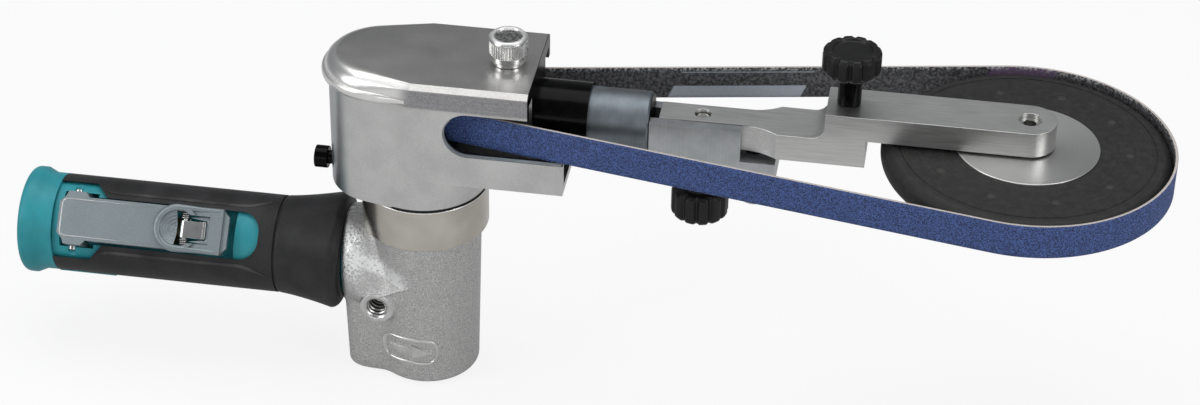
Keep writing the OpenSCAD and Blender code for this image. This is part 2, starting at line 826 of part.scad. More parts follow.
module tracking_screw() {
    color("silver") difference() {
        union() {
            translate([spring_pocket_x, 0, fork_bottom - seat - track_head_h])
                cylinder(d = track_head_d, h = track_head_h);
            translate([spring_pocket_x, 0, fork_bottom - seat - cut])
                cylinder(d = track_screw_d, h = cut + seat + fork_floor_t - pocket_l);
        }
        translate([spring_pocket_x, 0, fork_bottom - seat - track_head_h - cut])
            cylinder(d = track_screw_d, h = track_head_h / 2 + cut, $fn = 6);
    }
}

// A round hand knob with scalloped flutes and a shallow recess in its outer face
flute_d = 3.2;
flute_out = 0.5;
knob_recess_share = 0.62;
knob_recess_h = 0.8;
knob_edge = 1;
module hand_knob(h) {
    r = knob_d / 2;
    difference() {
        union() {
            cylinder(r1 = r - knob_edge, r2 = r, h = knob_edge);
            translate([0, 0, knob_edge]) cylinder(r = r, h = h - 2 * knob_edge);
            translate([0, 0, h - knob_edge]) cylinder(r1 = r, r2 = r - knob_edge, h = knob_edge);
        }
        for (i = [0 : knob_flutes - 1])
            rotate(360 * i / knob_flutes) translate([r + flute_out, 0, -cut])
                cylinder(d = flute_d, h = h + 2 * cut);
        translate([0, 0, h - knob_recess_h])
            cylinder(d = knob_d * knob_recess_share, h = knob_recess_h + cut);
    }
}

track_neck_d = 12;
stud_tip = 1.2;
stud_sink = 3;
module tracking_knob() {
    under = fork_bottom - free;
    color("black") difference() {
        union() {
            translate([track_knob_x, 0, under - track_neck_h]) mirror([0, 0, 1]) hand_knob(track_knob_h);
            translate([track_knob_x, 0, under - track_neck_h - cut])
                cylinder(d = track_neck_d, h = track_neck_h + cut);
        }
        translate([track_knob_x, 0, under - track_neck_h - stud_sink])
            cylinder(d = stud_d + 2 * fit, h = track_neck_h + stud_sink + cut);
    }
}

module tracking_stud() {
    foot = fork_bottom - free - track_neck_h - stud_sink + seat;
    color("silver") translate([track_knob_x, 0, foot])
        cylinder(d = stud_d, h = arm_low_top - stud_tip - foot);
}

axle_head_d = 13;
axle_head_h = 3;
axle_recess = 1.6;
axle_socket_share = 0.62;
axle_socket_h = 4;
stud_slack = 0.45;
rocker_r = tilt_gap - free / 2;

// Plan of the arm: a narrow tang, milled shoulders and a bar with a round end
module arm_plan() {
    difference() {
        union() {
            translate([tang_x, -arm_w / 2]) square([wheel_spacing - tang_x, arm_w]);
            translate([wheel_spacing, 0]) circle(d = arm_w);
        }
        for (side = [-1, 1]) {
            translate([tang_x - cut, side * (tang_w + arm_w) / 2 - arm_w / 2])
                square([shoulder_x - tang_x + cut, arm_w]);
            translate([shoulder_x, side * (tang_w / 2 + shoulder_r)]) circle(r = shoulder_r);
        }
    }
}

// Side view of the arm: the lower level, the step with its fillet, the raised level
module arm_profile() {
    bar_end = wheel_spacing + arm_w;
    translate([tang_x, arm_low_z]) square([low_reach - tang_x, arm_low_t]);
    translate([step_x, arm_low_z]) square([low_reach - step_x, arm_top - arm_low_z]);
    translate([step_x, arm_high_z]) square([bar_end - step_x, arm_high_t]);
    difference() {
        translate([step_x - step_fillet, arm_low_top - cut]) square([step_fillet + cut, step_fillet + cut]);
        translate([step_x - step_fillet, arm_low_top + step_fillet]) circle(r = step_fillet);
    }
}

module contact_arm() {
    color("gainsboro") difference() {
        union() {
            intersection() {
                translate([0, 0, arm_low_z - cut]) linear_extrude(arm_top - arm_low_z + 2 * cut) arm_plan();
                translate([0, arm_w, 0]) rotate([90, 0, 0]) linear_extrude(2 * arm_w) arm_profile();
            }
            translate([rocker_x, tang_w / 2, arm_low_z]) rotate([90, 0, 0])
                cylinder(r = rocker_r, h = tang_w);
        }
        translate([track_knob_x, 0, arm_low_z - cut])
            cylinder(d = stud_d + 2 * stud_slack, h = arm_low_t + 2 * cut);
        translate([arm_knob_x, 0, arm_low_z - cut])
            cylinder(d = knob_stud_d + 2 * run, h = arm_top - arm_low_z + 2 * cut);
        translate([wheel_spacing, 0, arm_high_z - cut])
            cylinder(d = axle_d + 2 * fit, h = arm_high_t + 2 * cut);
    }
}

module wheel_axle() {
    foot = hub_bottom - free - axle_head_h;
    tip = arm_top - axle_recess;
    color("gray") translate([wheel_spacing, 0, foot]) difference() {
        union() {
            cylinder(d = axle_head_d, h = axle_head_h);
            cylinder(d = axle_d, h = tip - foot);
        }
        translate([0, 0, tip - foot - axle_socket_h])
            cylinder(d = axle_d * axle_socket_share, h = axle_socket_h + cut, $fn = 6);
    }
}

spacer_wall = 1.8;
module axle_spacer() {
    foot = hub_top - hub_inset + free;
    color("darkgray") translate([wheel_spacing, 0, foot])
        pipe(axle_d + 2 * spacer_wall, axle_d + 2 * fit, arm_high_z - seat - foot);
}

knob_stud_d = 6;
knob_stud_sink = 5;
knob_base = arm_top + free;
module arm_knob() {
    foot = knob_base + sleeve_h + seat;
    color("black") translate([arm_knob_x, 0, foot]) difference() {
        hand_knob(arm_knob_h);
        translate([0, 0, -cut]) cylinder(d = knob_stud_d + 2 * fit, h = knob_stud_sink + cut);
    }
}

module arm_knob_sleeve() {
    color("black") translate([arm_knob_x, 0, knob_base]) pipe(sleeve_d, knob_stud_d + 2 * fit, sleeve_h);
}

module arm_knob_stud() {
    tip = knob_base + sleeve_h + knob_stud_sink;
    color("silver") translate([arm_knob_x, 0, arm_low_z + stud_tip])
        cylinder(d = knob_stud_d, h = tip - arm_low_z - stud_tip);
}

// Contact wheel

hub_inset = 0.5;
hub_web = 1.2;
mark_n = 10;
mark_ring_share = 0.703;
mark_d = 3;
mark_h = 0.3;
groove_share = 0.93;
groove_w = 0.8;

module wheel_hub() {
    h = hub_top - hub_bottom;
    color("silver") translate([wheel_spacing, 0, hub_bottom]) difference() {
        cylinder(d = hub_d - 2 * fit, h = h);
        translate([0, 0, -cut]) cylinder(d = wheel_bearing_d - 2 * hub_web, h = h + 2 * cut);
        translate([0, 0, -cut]) cylinder(d = wheel_bearing_d, h = wheel_bearing_w + hub_inset + cut);
        translate([0, 0, h - wheel_bearing_w - hub_inset])
            cylinder(d = wheel_bearing_d, h = wheel_bearing_w + hub_inset + cut);
    }
}

module wheel_tyre() {
    color("dimgray") translate([wheel_spacing, 0, belt_z - wheel_w / 2]) {
        difference() {
            pipe(wheel_d, hub_d, wheel_w);
            for (z = [-cut, wheel_w - mark_h])
                translate([0, 0, z])
                    pipe(wheel_d * groove_share, wheel_d * groove_share - 2 * groove_w, mark_h + cut);
        }
        for (i = [0 : mark_n - 1])
            rotate(360 * i / mark_n) translate([wheel_d / 2 * mark_ring_share, 0, wheel_w / 2])
                cylinder(d = mark_d, h = wheel_w / 2 + mark_h);
    }
}

module wheel_bearings() {
    for (z = [hub_bottom + hub_inset, hub_top - hub_inset - wheel_bearing_w + seat])
        color("lightsteelblue") translate([wheel_spacing, 0, z])
            ball_bearing(wheel_bearing_d - 2 * fit, axle_d + 2 * run, wheel_bearing_w - seat);
}

module bearing_spacer() {
    foot = hub_bottom + hub_inset + wheel_bearing_w;
    color("darkgray") translate([wheel_spacing, 0, foot + seat])
        pipe(wheel_bearing_d - 2 * hub_web - 2 * fit, axle_d + 2 * free,
            hub_top - hub_inset - wheel_bearing_w - foot - seat);
}

module abrasive_belt() {
    lean = asin((belt_in_wheel - belt_in_drive) / wheel_spacing);
    run_l = wheel_spacing * cos(lean);
    color("royalblue") translate([0, 0, belt_z - belt_w / 2]) {
        rotate(90 + lean) belt_wrap(belt_in_drive, 180 - 2 * lean);
        translate([wheel_spacing, 0, 0]) rotate(-90 - lean) belt_wrap(belt_in_wheel, 180 + 2 * lean);
        rotate(lean) translate([0, belt_in_drive, 0]) cube([run_l, belt_t, belt_w]);
        rotate(-lean) translate([0, -belt_in_drive - belt_t, 0]) cube([run_l, belt_t, belt_w]);
    }
}

// The stretch of belt that wraps a wheel, starting on +x
module belt_wrap(r, angle) {
    rotate_extrude(angle = angle) translate([r, 0]) square([belt_t, belt_w]);
}

// Handle

cap_wall = 3.5;
felt_l = 3.6;
nose_d = 26;
nose_l = cap_l - cap_wall - felt_l - free;
supply_d = 12;
coupling_l = 20;
exhaust_d = 5;
exhaust_y = 9.5;
exhaust_drop = 8;
chamber_d = 10.4;
chamber_drop = 9;
bushing_d = 14;
bushing_l = 16;
pocket_end = 1.6;
core_r = core_d / 2;

module handle_coupling() {
    color("gray") along_handle(core_x - coupling_l)
        pipe(coupling_d - 2 * fit, duct_d, coupling_x - seat - core_x + coupling_l);
}

module handle_core() {
    color("darkcyan") difference() {
        union() {
            along_handle(cap_x + seat) cylinder(d = core_d, h = core_x - cap_x - seat);
            along_handle(cap_x - nose_l) cylinder(d = nose_d, h = nose_l + cut);
        }
        along_handle(cap_x - nose_l - cut) cylinder(d = supply_d, h = core_x - cap_x + nose_l + 2 * cut);
        along_handle(core_x - coupling_l - seat) cylinder(d = coupling_d, h = coupling_l + seat + cut);
        along_handle(cap_x - nose_l - cut)
            cylinder(d = bushing_d + 2 * fit, h = bushing_l + cut - cap_l + nose_l);
        on_lever() {
            // Pocket that the lever sinks into, wider at its pivot ears
            block([lever_x - free, -window_w / 2, pocket_z],
                [lever_end_x + pocket_end, window_w / 2, core_d]);
            block([lever_x - free, -lever_ear_w / 2 - free, pocket_z],
                [lever_x + ear_l + pocket_end, lever_ear_w / 2 + free, core_d]);
            cross_bar(pivot_x, pivot_z, lever_pin_d + 2 * fit, core_d);
            translate([stem_x, 0, -chamber_drop]) cylinder(d = chamber_d, h = chamber_drop + pocket_z + cut);
            for (side = [-1, 1])
                translate([cap_x - nose_l - cut, side * exhaust_y, -exhaust_drop]) rotate([0, 90, 0])
                    cylinder(d = exhaust_d, h = core_x - cap_x + nose_l + 2 * cut);
        }
    }
}

guard_lip = 2.4;
flare_share = 0.55;
module hand_guard() {
    bore_r = core_r + fit;
    start_r = grip_d / 2;
    end_r = guard_d / 2;
    color("black") along_handle(seam_x) rotate_extrude() {
        polygon([[bore_r, 0], [start_r, 0], [start_r + (end_r - start_r) / 4, guard_l * flare_share],
            [end_r, guard_l - guard_lip], [end_r - guard_lip, guard_l], [bore_r, guard_l]]);
        translate([end_r - guard_lip, guard_l - guard_lip]) circle(r = guard_lip);
    }
}

window_round_share = 0.42;
window_ear = 4.4;
module grip_sleeve() {
    end_x = seam_x - seam_gap;
    corner = window_w * window_round_share;
    window_end = lever_end_x + window_past;
    ear_end = lever_x + ear_l;
    ear_w = lever_ear_w / 2 + window_ear;
    slope_end = ear_end + ear_w - window_w / 2;
    color("black") difference() {
        along_handle(grip_x) pipe(grip_d, core_d + 2 * fit, end_x - grip_x);
        on_lever() linear_extrude(grip_d) {
            polygon([[grip_x - cut, -ear_w], [ear_end, -ear_w], [slope_end, -window_w / 2],
                [slope_end, window_w / 2], [ear_end, ear_w], [grip_x - cut, ear_w]]);
            translate([ear_end, -window_w / 2]) square([window_end - corner - ear_end, window_w]);
            translate([ear_end, corner - window_w / 2]) square([window_end - ear_end, window_w - 2 * corner]);
            for (side = [-1, 1])
                translate([window_end - corner, side * (window_w / 2 - corner)]) circle(r = corner);
        }
    }
}
window_past = 10.8;

cap_neck_share = 0.62;
cap_edge = 2.2;
vent_n = 10;
vent_d = 2.4;
vent_ring = 21.6;
module end_cap() {
    neck_l = cap_l * cap_neck_share;
    rim_r = cap_d / 2;
    color("darkcyan") difference() {
        along_handle(cap_end_x) rotate_extrude() {
            polygon([[0, 0], [rim_r - cap_edge, 0], [rim_r, cap_edge], [rim_r, 2 * cap_edge],
                [grip_d / 2, neck_l], [grip_d / 2, cap_l], [0, cap_l]]);
            translate([rim_r - cap_edge, cap_edge]) circle(r = cap_edge);
        }
        along_handle(cap_end_x + cap_wall) cylinder(d = nose_d + 2 * fit, h = cap_l);
        along_handle(cap_end_x - cut) cylinder(d = bushing_d + 2 * fit, h = cap_l);
        for (i = [0 : vent_n - 1])
            along_handle(cap_end_x - cut) rotate(360 * i / vent_n) translate([vent_ring / 2, 0, 0])
                cylinder(d = vent_d, h = cap_wall + 2 * cut);
    }
}

module exhaust_felt() {
    color("beige") along_handle(cap_end_x + cap_wall + seat)
        pipe(nose_d - 2 * fit, bushing_d + 2 * fit, felt_l);
}

hex_d = 19;
hex_h = 1.6;
module inlet_bushing() {
    color("goldenrod") difference() {
        union() {
            along_handle(cap_end_x - seat) cylinder(d = bushing_d, h = bushing_l + seat - cut);
            along_handle(cap_end_x - seat - hex_h) cylinder(d = hex_d, h = hex_h, $fn = 6);
        }
        along_handle(cap_end_x - seat - hex_h - cut)
            cylinder(d = inlet_bore_d, h = bushing_l + hex_h + 2 * cut);
    }
}

// Throttle

ear_drop = 2.7;
ear_z = pivot_z - ear_drop;
cup_open_share = 0.76;
cup_open_l = 12;
lever_corner = 2.2;
module throttle_lever() {
    half = lever_w / 2;
    ear_half = lever_ear_w / 2;
    inner_r = cup_d / 2 - cup_wall;
    color("slategray") on_lever() difference() {
        union() {
            translate([lever_x, 0, lever_under]) linear_extrude(lever_t) {
                polygon([[0, lever_corner - half], [lever_corner, -half], [lever_l - lever_corner, -half],
                    [lever_l, lever_corner - half], [lever_l, half - lever_corner],
                    [lever_l - lever_corner, half], [lever_corner, half], [0, half - lever_corner]]);
                polygon([[lever_corner, -half], [2 * lever_t, -ear_half], [ear_l - lever_t, -ear_half],
                    [ear_l, -half], [ear_l, half], [ear_l - lever_t, ear_half],
                    [2 * lever_t, ear_half], [lever_corner, half]]);
            }
            for (side = [-1, 1]) {
                translate([0, side * (ear_half - lever_t / 2), 0])
                    block([lever_x + 2 * lever_t, -lever_t / 2, ear_z],
                        [lever_x + ear_l - lever_t, lever_t / 2, lever_rise]);
                translate([0, side * (half - lever_t / 2), 0])
                    block([lever_x + ear_l, -lever_t / 2, lever_under - flange_drop],
                        [lever_end_x - lever_corner, lever_t / 2, lever_rise]);
            }
            translate([cup_x, 0, lever_under]) cylinder(d = cup_d, h = lever_t + cup_h);
            block([cup_x, -cup_d / 2, lever_under],
                [lever_end_x - lever_corner, cup_d / 2, lever_rise + cup_h / 2]);
        }
        // Opening that the latch sits in
        translate([cup_x, 0, lever_under - cut]) cylinder(r = inner_r, h = lever_t + cup_h + 2 * cut);
        block([cup_x, -inner_r * cup_open_share, lever_under - cut],
            [cup_x + cup_open_l, inner_r * cup_open_share, lever_rise + cup_h + cut]);
        cross_bar(pivot_x, pivot_z, lever_pin_d + 2 * run, lever_ear_w + 2 * cut);
        cross_bar(latch_x, latch_z, latch_pin_d + 2 * fit, lever_w + 2 * cut);
    }
}

pin_sink = 0.45;
module lever_pin() {
    half_l = sqrt(core_r * core_r - pivot_z * pivot_z) - pin_sink;
    color("gray") on_lever() cross_bar(pivot_x, pivot_z, lever_pin_d, 2 * half_l);
}

barrel_wall = 0.9;
latch_t = 1;
latch_tab_l = 8.6;
latch_lip_h = 1.6;
latch_leg_l = 4.4;
module lock_off_latch() {
    half = latch_w / 2;
    barrel_d = latch_pin_d + 2 * run + 2 * barrel_wall;
    tab_z = latch_z + barrel_d / 2 - latch_t;
    color("white") on_lever() difference() {
        union() {
            cross_bar(latch_x, latch_z, barrel_d, latch_w);
            block([latch_x, -half, tab_z], [latch_x + latch_tab_l, half, tab_z + latch_t]);
            block([latch_x + latch_tab_l - latch_t, -half, tab_z],
                [latch_x + latch_tab_l, half, tab_z + latch_t + latch_lip_h]);
            block([latch_x - barrel_d / 2, -half, latch_z - latch_leg_l],
                [latch_x - barrel_d / 2 + latch_t, half, latch_z]);
        }
        cross_bar(latch_x, latch_z, latch_pin_d + 2 * run, latch_w + 2 * cut);
    }
}

module latch_pin() {
    color("gray") on_lever() cross_bar(latch_x, latch_z, latch_pin_d, lever_w);
}

latch_wire_d = 0.5;
latch_turns = 2;
module latch_spring() {
    room = lever_w / 2 - lever_t - latch_w / 2;
    span = room - 2 * free - latch_wire_d;
    start = latch_w / 2 + free + latch_wire_d / 2;
    color("silver") on_lever() for (side = [-1, 1])
        translate([latch_x, side * start, latch_z]) rotate([-side * 90, 0, 0])
            coil(latch_pin_d + latch_wire_d + 2 * free, latch_wire_d, span, latch_turns);
}

bush_d = chamber_d - 2 * fit;
bush_l = 5.4;
stem_top_gap = 0.45;
stem_head_d = 7;
stem_head_h = 2.6;
module valve_bush() {
    color("goldenrod") on_lever() translate([stem_x, 0, pocket_z - bush_l])
        pipe(bush_d, stem_d + 2 * run, bush_l);
}

stem_head_z = pocket_z - bush_l - free;
module valve_stem() {
    color("lightgray") on_lever() translate([stem_x, 0, 0]) {
        translate([0, 0, stem_head_z - stem_head_h]) cylinder(d = stem_head_d, h = stem_head_h);
        translate([0, 0, stem_head_z - cut])
            cylinder(d = stem_d, h = lever_under - stem_top_gap - stem_head_z + cut);
    }
}

valve_wire_d = 0.8;
valve_turns = 4;
module valve_spring() {
    foot = seat - chamber_drop;
    span = stem_head_z - stem_head_h - seat - foot;
    color("silver") on_lever() translate([stem_x, 0, foot + valve_wire_d / 2])
        coil(stem_head_d - valve_wire_d, valve_wire_d, span - valve_wire_d, valve_turns);
}

motor_housing();
lock_collar();
cylinder_liner();
lower_end_plate();
upper_end_plate();
lower_bearing();
upper_bearing();
shaft_seal();
rotor();
rotor_blades();
drive_wheel_core();
drive_wheel_tyre();
drive_wheel_screw();
belt_housing();
clamp_screw();
guide_tube();
tension_spring();
tension_lock_knob();
tension_fork();
tracking_spring();
tracking_screw();
tracking_knob();
tracking_stud();
contact_arm();
wheel_axle();
axle_spacer();
arm_knob();
arm_knob_sleeve();
arm_knob_stud();
wheel_hub();
wheel_tyre();
wheel_bearings();
bearing_spacer();
abrasive_belt();
handle_coupling();
handle_core();
hand_guard();
grip_sleeve();
end_cap();
exhaust_felt();
inlet_bushing();
throttle_lever();
lever_pin();
lock_off_latch();
latch_pin();
latch_spring();
valve_bush();
valve_stem();
valve_spring();
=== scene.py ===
import json
import math

import bmesh
import bpy
import numpy as np
from mathutils import Matrix


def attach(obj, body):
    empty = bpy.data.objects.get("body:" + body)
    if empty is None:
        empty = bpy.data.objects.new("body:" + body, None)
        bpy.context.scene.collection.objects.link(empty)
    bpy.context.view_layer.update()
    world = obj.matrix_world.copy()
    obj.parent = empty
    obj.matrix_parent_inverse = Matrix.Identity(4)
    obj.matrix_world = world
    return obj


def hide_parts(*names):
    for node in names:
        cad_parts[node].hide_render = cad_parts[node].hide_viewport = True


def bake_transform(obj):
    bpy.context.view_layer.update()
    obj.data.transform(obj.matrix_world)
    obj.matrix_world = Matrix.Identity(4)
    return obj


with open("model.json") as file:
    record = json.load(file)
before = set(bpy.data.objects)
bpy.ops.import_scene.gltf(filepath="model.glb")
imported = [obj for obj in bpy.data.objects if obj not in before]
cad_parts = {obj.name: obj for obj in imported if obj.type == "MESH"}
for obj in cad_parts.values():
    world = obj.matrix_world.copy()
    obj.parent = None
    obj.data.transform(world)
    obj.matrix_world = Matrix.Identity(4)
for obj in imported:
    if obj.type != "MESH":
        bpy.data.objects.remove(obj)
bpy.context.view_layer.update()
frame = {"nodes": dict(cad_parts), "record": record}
nodes = frame["nodes"]
record = frame["record"]
bodyOf = {n: body for body, members in record["behaviour"]["bodies"].items() for n in members}
slotOf = {part["node"]: part["material_slot"] for part in record["subparts"]}
print("frame loaded:", len(nodes), "nodes")

# Sizes in the settings are millimetres; gridMesh turns them into metres.
mm = 0.001

# Places that several pieces share: the contact wheel, the belt's middle height, the handle's axis,
# the lock knob, the tracking screw, the side hole and the ring of marks on the tyre
wheelX, beltZ, handleZ = 215, 113.05, 44
lockX, screwX = 31, 120.4
holeX, holeZ = -15.2, 33.0
markCount, markRing = 10, 35.7


# Shader maths

# Sets or links sockets by name
def feed(tree, inputs, values):
    for name, value in values.items():
        if isinstance(value, Wire):
            tree.links.new(value.socket, inputs[name])
        else:
            inputs[name].default_value = value


class Wire:
    # A socket of a node tree, so that shader maths reads as plain maths.
    def __init__(self, tree, socket):
        self.tree = tree
        self.socket = socket

    def node(self, kind, settings, values, out=0):
        made = self.tree.nodes.new(kind)
        for name, value in settings.items():
            setattr(made, name, value)
        feed(self.tree, made.inputs, values)
        return Wire(self.tree, made.outputs[out])

    def maths(self, operation, a, b=0.0):
        return self.node("ShaderNodeMath", {"operation": operation}, {0: a, 1: b})

    def __add__(self, other):
        return self.maths("ADD", self, other)

    def __sub__(self, other):
        return self.maths("SUBTRACT", self, other)

    def __mul__(self, other):
        return self.maths("MULTIPLY", self, other)

    def __rsub__(self, other):
        return self.maths("SUBTRACT", other, self)

    __radd__ = __add__
    __rmul__ = __mul__

    def apply(self, operation, other=0.0):
        return self.maths(operation, self, other)

    def step(self, low, high):
        return self.node("ShaderNodeMapRange", {"interpolation_type": "SMOOTHSTEP"},
                         {"Value": self, "From Min": low, "From Max": high})

    def parts(self):
        return [self.node("ShaderNodeSeparateXYZ", {}, {0: self}, i) for i in range(3)]

    def stretch(self, x, y, z):
        return self.node("ShaderNodeMapping", {}, {"Vector": self, "Scale": (x, y, z)})

    def noise(self, scale, detail=3.0, rough=0.5):
        return self.node("ShaderNodeTexNoise", {}, {
            "Vector": self, "Scale": scale, "Detail": detail, "Roughness": rough})

    # Noise along one measure
    def streaks(self, scale, detail=2.0):
        return self.node("ShaderNodeTexNoise", {"noise_dimensions": "1D"},
                         {"W": self, "Scale": scale, "Detail": detail})

    def cells(self, scale):
        return self.node("ShaderNodeTexVoronoi", {}, {"Vector": self, "Scale": scale}, "Distance")

    def mix(self, first, second):
        return self.node("ShaderNodeMix", {"data_type": "RGBA"}, {
            0: self, 6: (*first, 1.0) if isinstance(first, tuple) else first,
            7: (*second, 1.0) if isinstance(second, tuple) else second}, 2)


# A material from a recipe: the recipe takes the place and gives values by socket name,
# with "bump" as (height, strength, distance in metres).
def makeMaterial(name, recipe):
    made = bpy.data.materials.new(name)
    made.use_nodes = True
    tree = made.node_tree
    place = Wire(tree, tree.nodes.new("ShaderNodeTexCoord").outputs["Object"])
    values = recipe(place)
    bump = values.pop("bump", None)
    if bump:
        height, strength, distance = bump
        values["Normal"] = place.node("ShaderNodeBump", {}, {
            "Strength": strength, "Distance": distance, "Height": height})
    feed(tree, tree.nodes["Principled BSDF"].inputs, values)
    return made


# An even grey
def grey(level):
    return (level, level, level)


# Distance from an upright axis that stands at x = middle
def radiusAt(place, middle):
    x, y, _ = place.parts()
    return ((x - middle) * (x - middle) + y * y).apply("SQRT")


# Blasted casting; a painted highlight with glints lies along the ridge of the handle boss, from the guard
# down to its tip, and on the boss's upper end by the guard
def castRecipe(place):
    blast = place.noise(2800, 2)
    patch = place.noise(420, 4, 0.6)
    x, y, z = place.parts()
    over = z - 0.0435 + (x + 0.003) * 0.36
    ridge = over.step(-0.0032, -0.0006) * (1.0 - over.step(0.0016, 0.0062)) * (0.0 - x).step(0.001, 0.008)
    shoulderHighlight = (0.0 - x).step(0.018, 0.024) * z.step(0.040, 0.047)
    highlightArea = ridge.apply("MAXIMUM", shoulderHighlight) * (0.0 - y).step(0.004, 0.012)
    fleck = place.noise(1050, 2)
    # Painted highlight: glints over the ridge and the upper end of the boss, mixed towards white in the base
    # colour
    paintedGlint = highlightArea * (fleck + ridge * 0.14).step(0.40, 0.60)
    tone = (patch * 0.12 + blast * 0.88).step(0.34, 0.66).mix((0.39, 0.395, 0.39), (0.74, 0.74, 0.725))
    return {"Base Color": paintedGlint.mix(tone, grey(1.0)),
            "Metallic": 1.0, "Roughness": patch * 0.16 + 0.36 - paintedGlint * 0.14,
            "bump": (blast * 0.8 + patch * 0.4 + highlightArea * fleck * 1.6, 0.5, 0.0005)}


# The roof is darker and warmer than the wall, and its side band, painted as shade, more so; the roof's
# rounding carries a painted highlight, the wall's back a painted bluish shade, and the end face by the guide
# tube is painted dark as shade
def polishedRecipe(place):
    brush = place.stretch(60, 2200, 2200).noise(1, 3)
    cloud = place.noise(60, 3)
    speck = place.noise(2400, 2)
    x, _, z = place.parts()
    roof = z.step(0.1225, 0.1250)
    # Painted shade on the roof's side band
    band = x.step(-0.006, 0.001) * z.step(0.1238, 0.1246) * (1.0 - z.step(0.1310, 0.1314))
    # Painted bluish shade on the wall's rounded back
    rearShade = (0.0 - x).step(0.0265, 0.0325) * (1.0 - roof)
    # Painted shade: the end face by the guide tube is painted near black
    end = x.step(0.0417, 0.0419) * z.step(0.1065, 0.1070)
    wallTone = (cloud * 0.6 + speck * 0.4).step(0.32, 0.68).mix((0.57, 0.575, 0.565), (0.72, 0.725, 0.71))
    roofTone = (cloud * 0.4 + speck * 0.6).step(0.3, 0.7).mix((0.52, 0.515, 0.50), (0.68, 0.67, 0.65))
    bandShadeTone = (speck * 0.7 + brush * 0.3).step(0.3, 0.7).mix((0.28, 0.28, 0.29), (0.46, 0.455, 0.47))
    # Painted highlight along the roof's rounding
    roundingHighlight = (1.0 - x.step(-0.004, 0.002)) * z.step(0.1270, 0.1280) * (1.0 - z.step(0.1323, 0.1328))
    tone = band.mix(roundingHighlight.mix(roof.mix(wallTone, roofTone), (0.92, 0.915, 0.90)), bandShadeTone)
    tone = (rearShade * 0.75).mix(tone, (0.34, 0.37, 0.40))
    return {"Base Color": end.mix(tone, grey(0.008)),
            "Metallic": 1.0, "Roughness": brush * 0.08 + cloud * 0.06 + 0.24,
            "bump": (brush + speck * 0.5, 0.06, 0.0003)}


def satinRecipe(place):
    brush = place.stretch(90, 3000, 3000).noise(1, 3)
    cloud = place.noise(120, 3)
    return {"Base Color": brush.step(0.3, 0.7).mix((0.60, 0.60, 0.59), (0.72, 0.72, 0.705)),
            "Metallic": 1.0, "Roughness": brush * 0.10 + cloud * 0.10 + 0.28,
            "bump": (brush, 0.07, 0.0002)}


# Turned hub: rings round the wheel's axis and a painted sheen that brightens and darkens by the angle round
# it
def turnedRecipe(place):
    radius = radiusAt(place, wheelX * mm)
    x, y, _ = place.parts()
    fan = (x - wheelX * mm).apply("ARCTAN2", y)
    ring = radius.streaks(3200)
    paintedSheen = (fan * 2.0 + 0.7).apply("SINE") * 0.5 + 0.5
    return {"Base Color": (ring * 0.35 + paintedSheen * 0.65).mix((0.52, 0.52, 0.51), (0.88, 0.88, 0.86)),
            "Metallic": 1.0, "Roughness": ring * 0.15 + 0.27, "bump": (ring, 0.12, 0.0002)}


def groundSteelRecipe(place):
    x, _, _ = place.parts()
    line = x.streaks(2600)
    cloud = place.noise(160, 4)
    grain = (line * 0.25 + cloud * 0.75).step(0.25, 0.75)
    plate = grain.mix((0.42, 0.44, 0.45), (0.58, 0.60, 0.61))
    shank = grain.mix((0.15, 0.172, 0.19), (0.24, 0.27, 0.295))
    # Painted shade in a thin band where the round shank meets the plate
    end = x.step(0.0825, 0.0827) - x.step(0.0829, 0.0831)
    tone = x.step(0.0826, 0.0828).mix(shank, plate)
    return {"Base Color": end.mix(tone, grey(0.03)),
            "Metallic": 1.0, "Roughness": line * 0.06 + cloud * 0.08 + 0.44 - x.step(0.0826, 0.0828) * 0.14,
            "bump": (line, 0.03, 0.0002)}


def nickelRecipe(place):
    _, _, z = place.parts()
    line = z.streaks(2400)
    cloud = place.noise(60, 2)
    tone = (cloud * 0.85 + line * 0.15).step(0.3, 0.7)
    return {"Base Color": tone.mix((0.53, 0.50, 0.45), (0.68, 0.65, 0.585)), "Metallic": 1.0,
            "Roughness": line * 0.06 + 0.2, "bump": (line, 0.03, 0.0002)}


# The lock knob: a painted highlight on the rim round painted shade in the recess, bright ridged sides
def knurledRecipe(place):
    _, _, z = place.parts()
    radius = radiusAt(place, lockX * mm)
    # Painted highlight on the top rim, painted shade in the recess
    rim = z.step(0.1429, 0.1434) * radius.step(0.0048, 0.0051)
    recess = z.step(0.1428, 0.1430) * (1.0 - radius.step(0.0048, 0.0051))
    grain = place.noise(900, 3)
    tone = grain.step(0.3, 0.7).mix((0.66, 0.66, 0.65), (0.86, 0.86, 0.85))
    tone = recess.mix(tone, grain.step(0.4, 0.6).mix((0.30, 0.30, 0.29), (0.62, 0.62, 0.61)))
    return {"Base Color": rim.mix(tone, (0.93, 0.93, 0.92)), "Metallic": 1.0,
            "Roughness": rim * 0.22 + grain * 0.1 + 0.18, "bump": (grain, 0.08, 0.0002)}


# The side hole's thread: bright crests and painted shade in the roots and the deeper well, by the distance
# from the hole's axis
def threadRecipe(place):
    x, _, z = place.parts()
    x, z = x - holeX * mm, z - holeZ * mm
    # Painted shade beyond the crests, in the roots and down the well
    crest = 1.0 - (x * x + z * z).apply("SQRT").step(0.0034, 0.0038)
    grain = place.noise(1400, 2)
    return {"Base Color": crest.mix(grey(0.006), (0.80, 0.80, 0.78)), "Metallic": 1.0,
            "Roughness": grain * 0.1 + 0.26}


# Plain machined metal between two tones
def metalRecipe(dark, light, rough):
    def recipe(place):
        grain = place.noise(1400, 2)
        cloud = place.noise(180, 3)
        return {"Base Color": cloud.step(0.3, 0.7).mix(dark, light), "Metallic": 1.0,
                "Roughness": grain * 0.1 + rough, "bump": (grain, 0.08, 0.0002)}
    return recipe


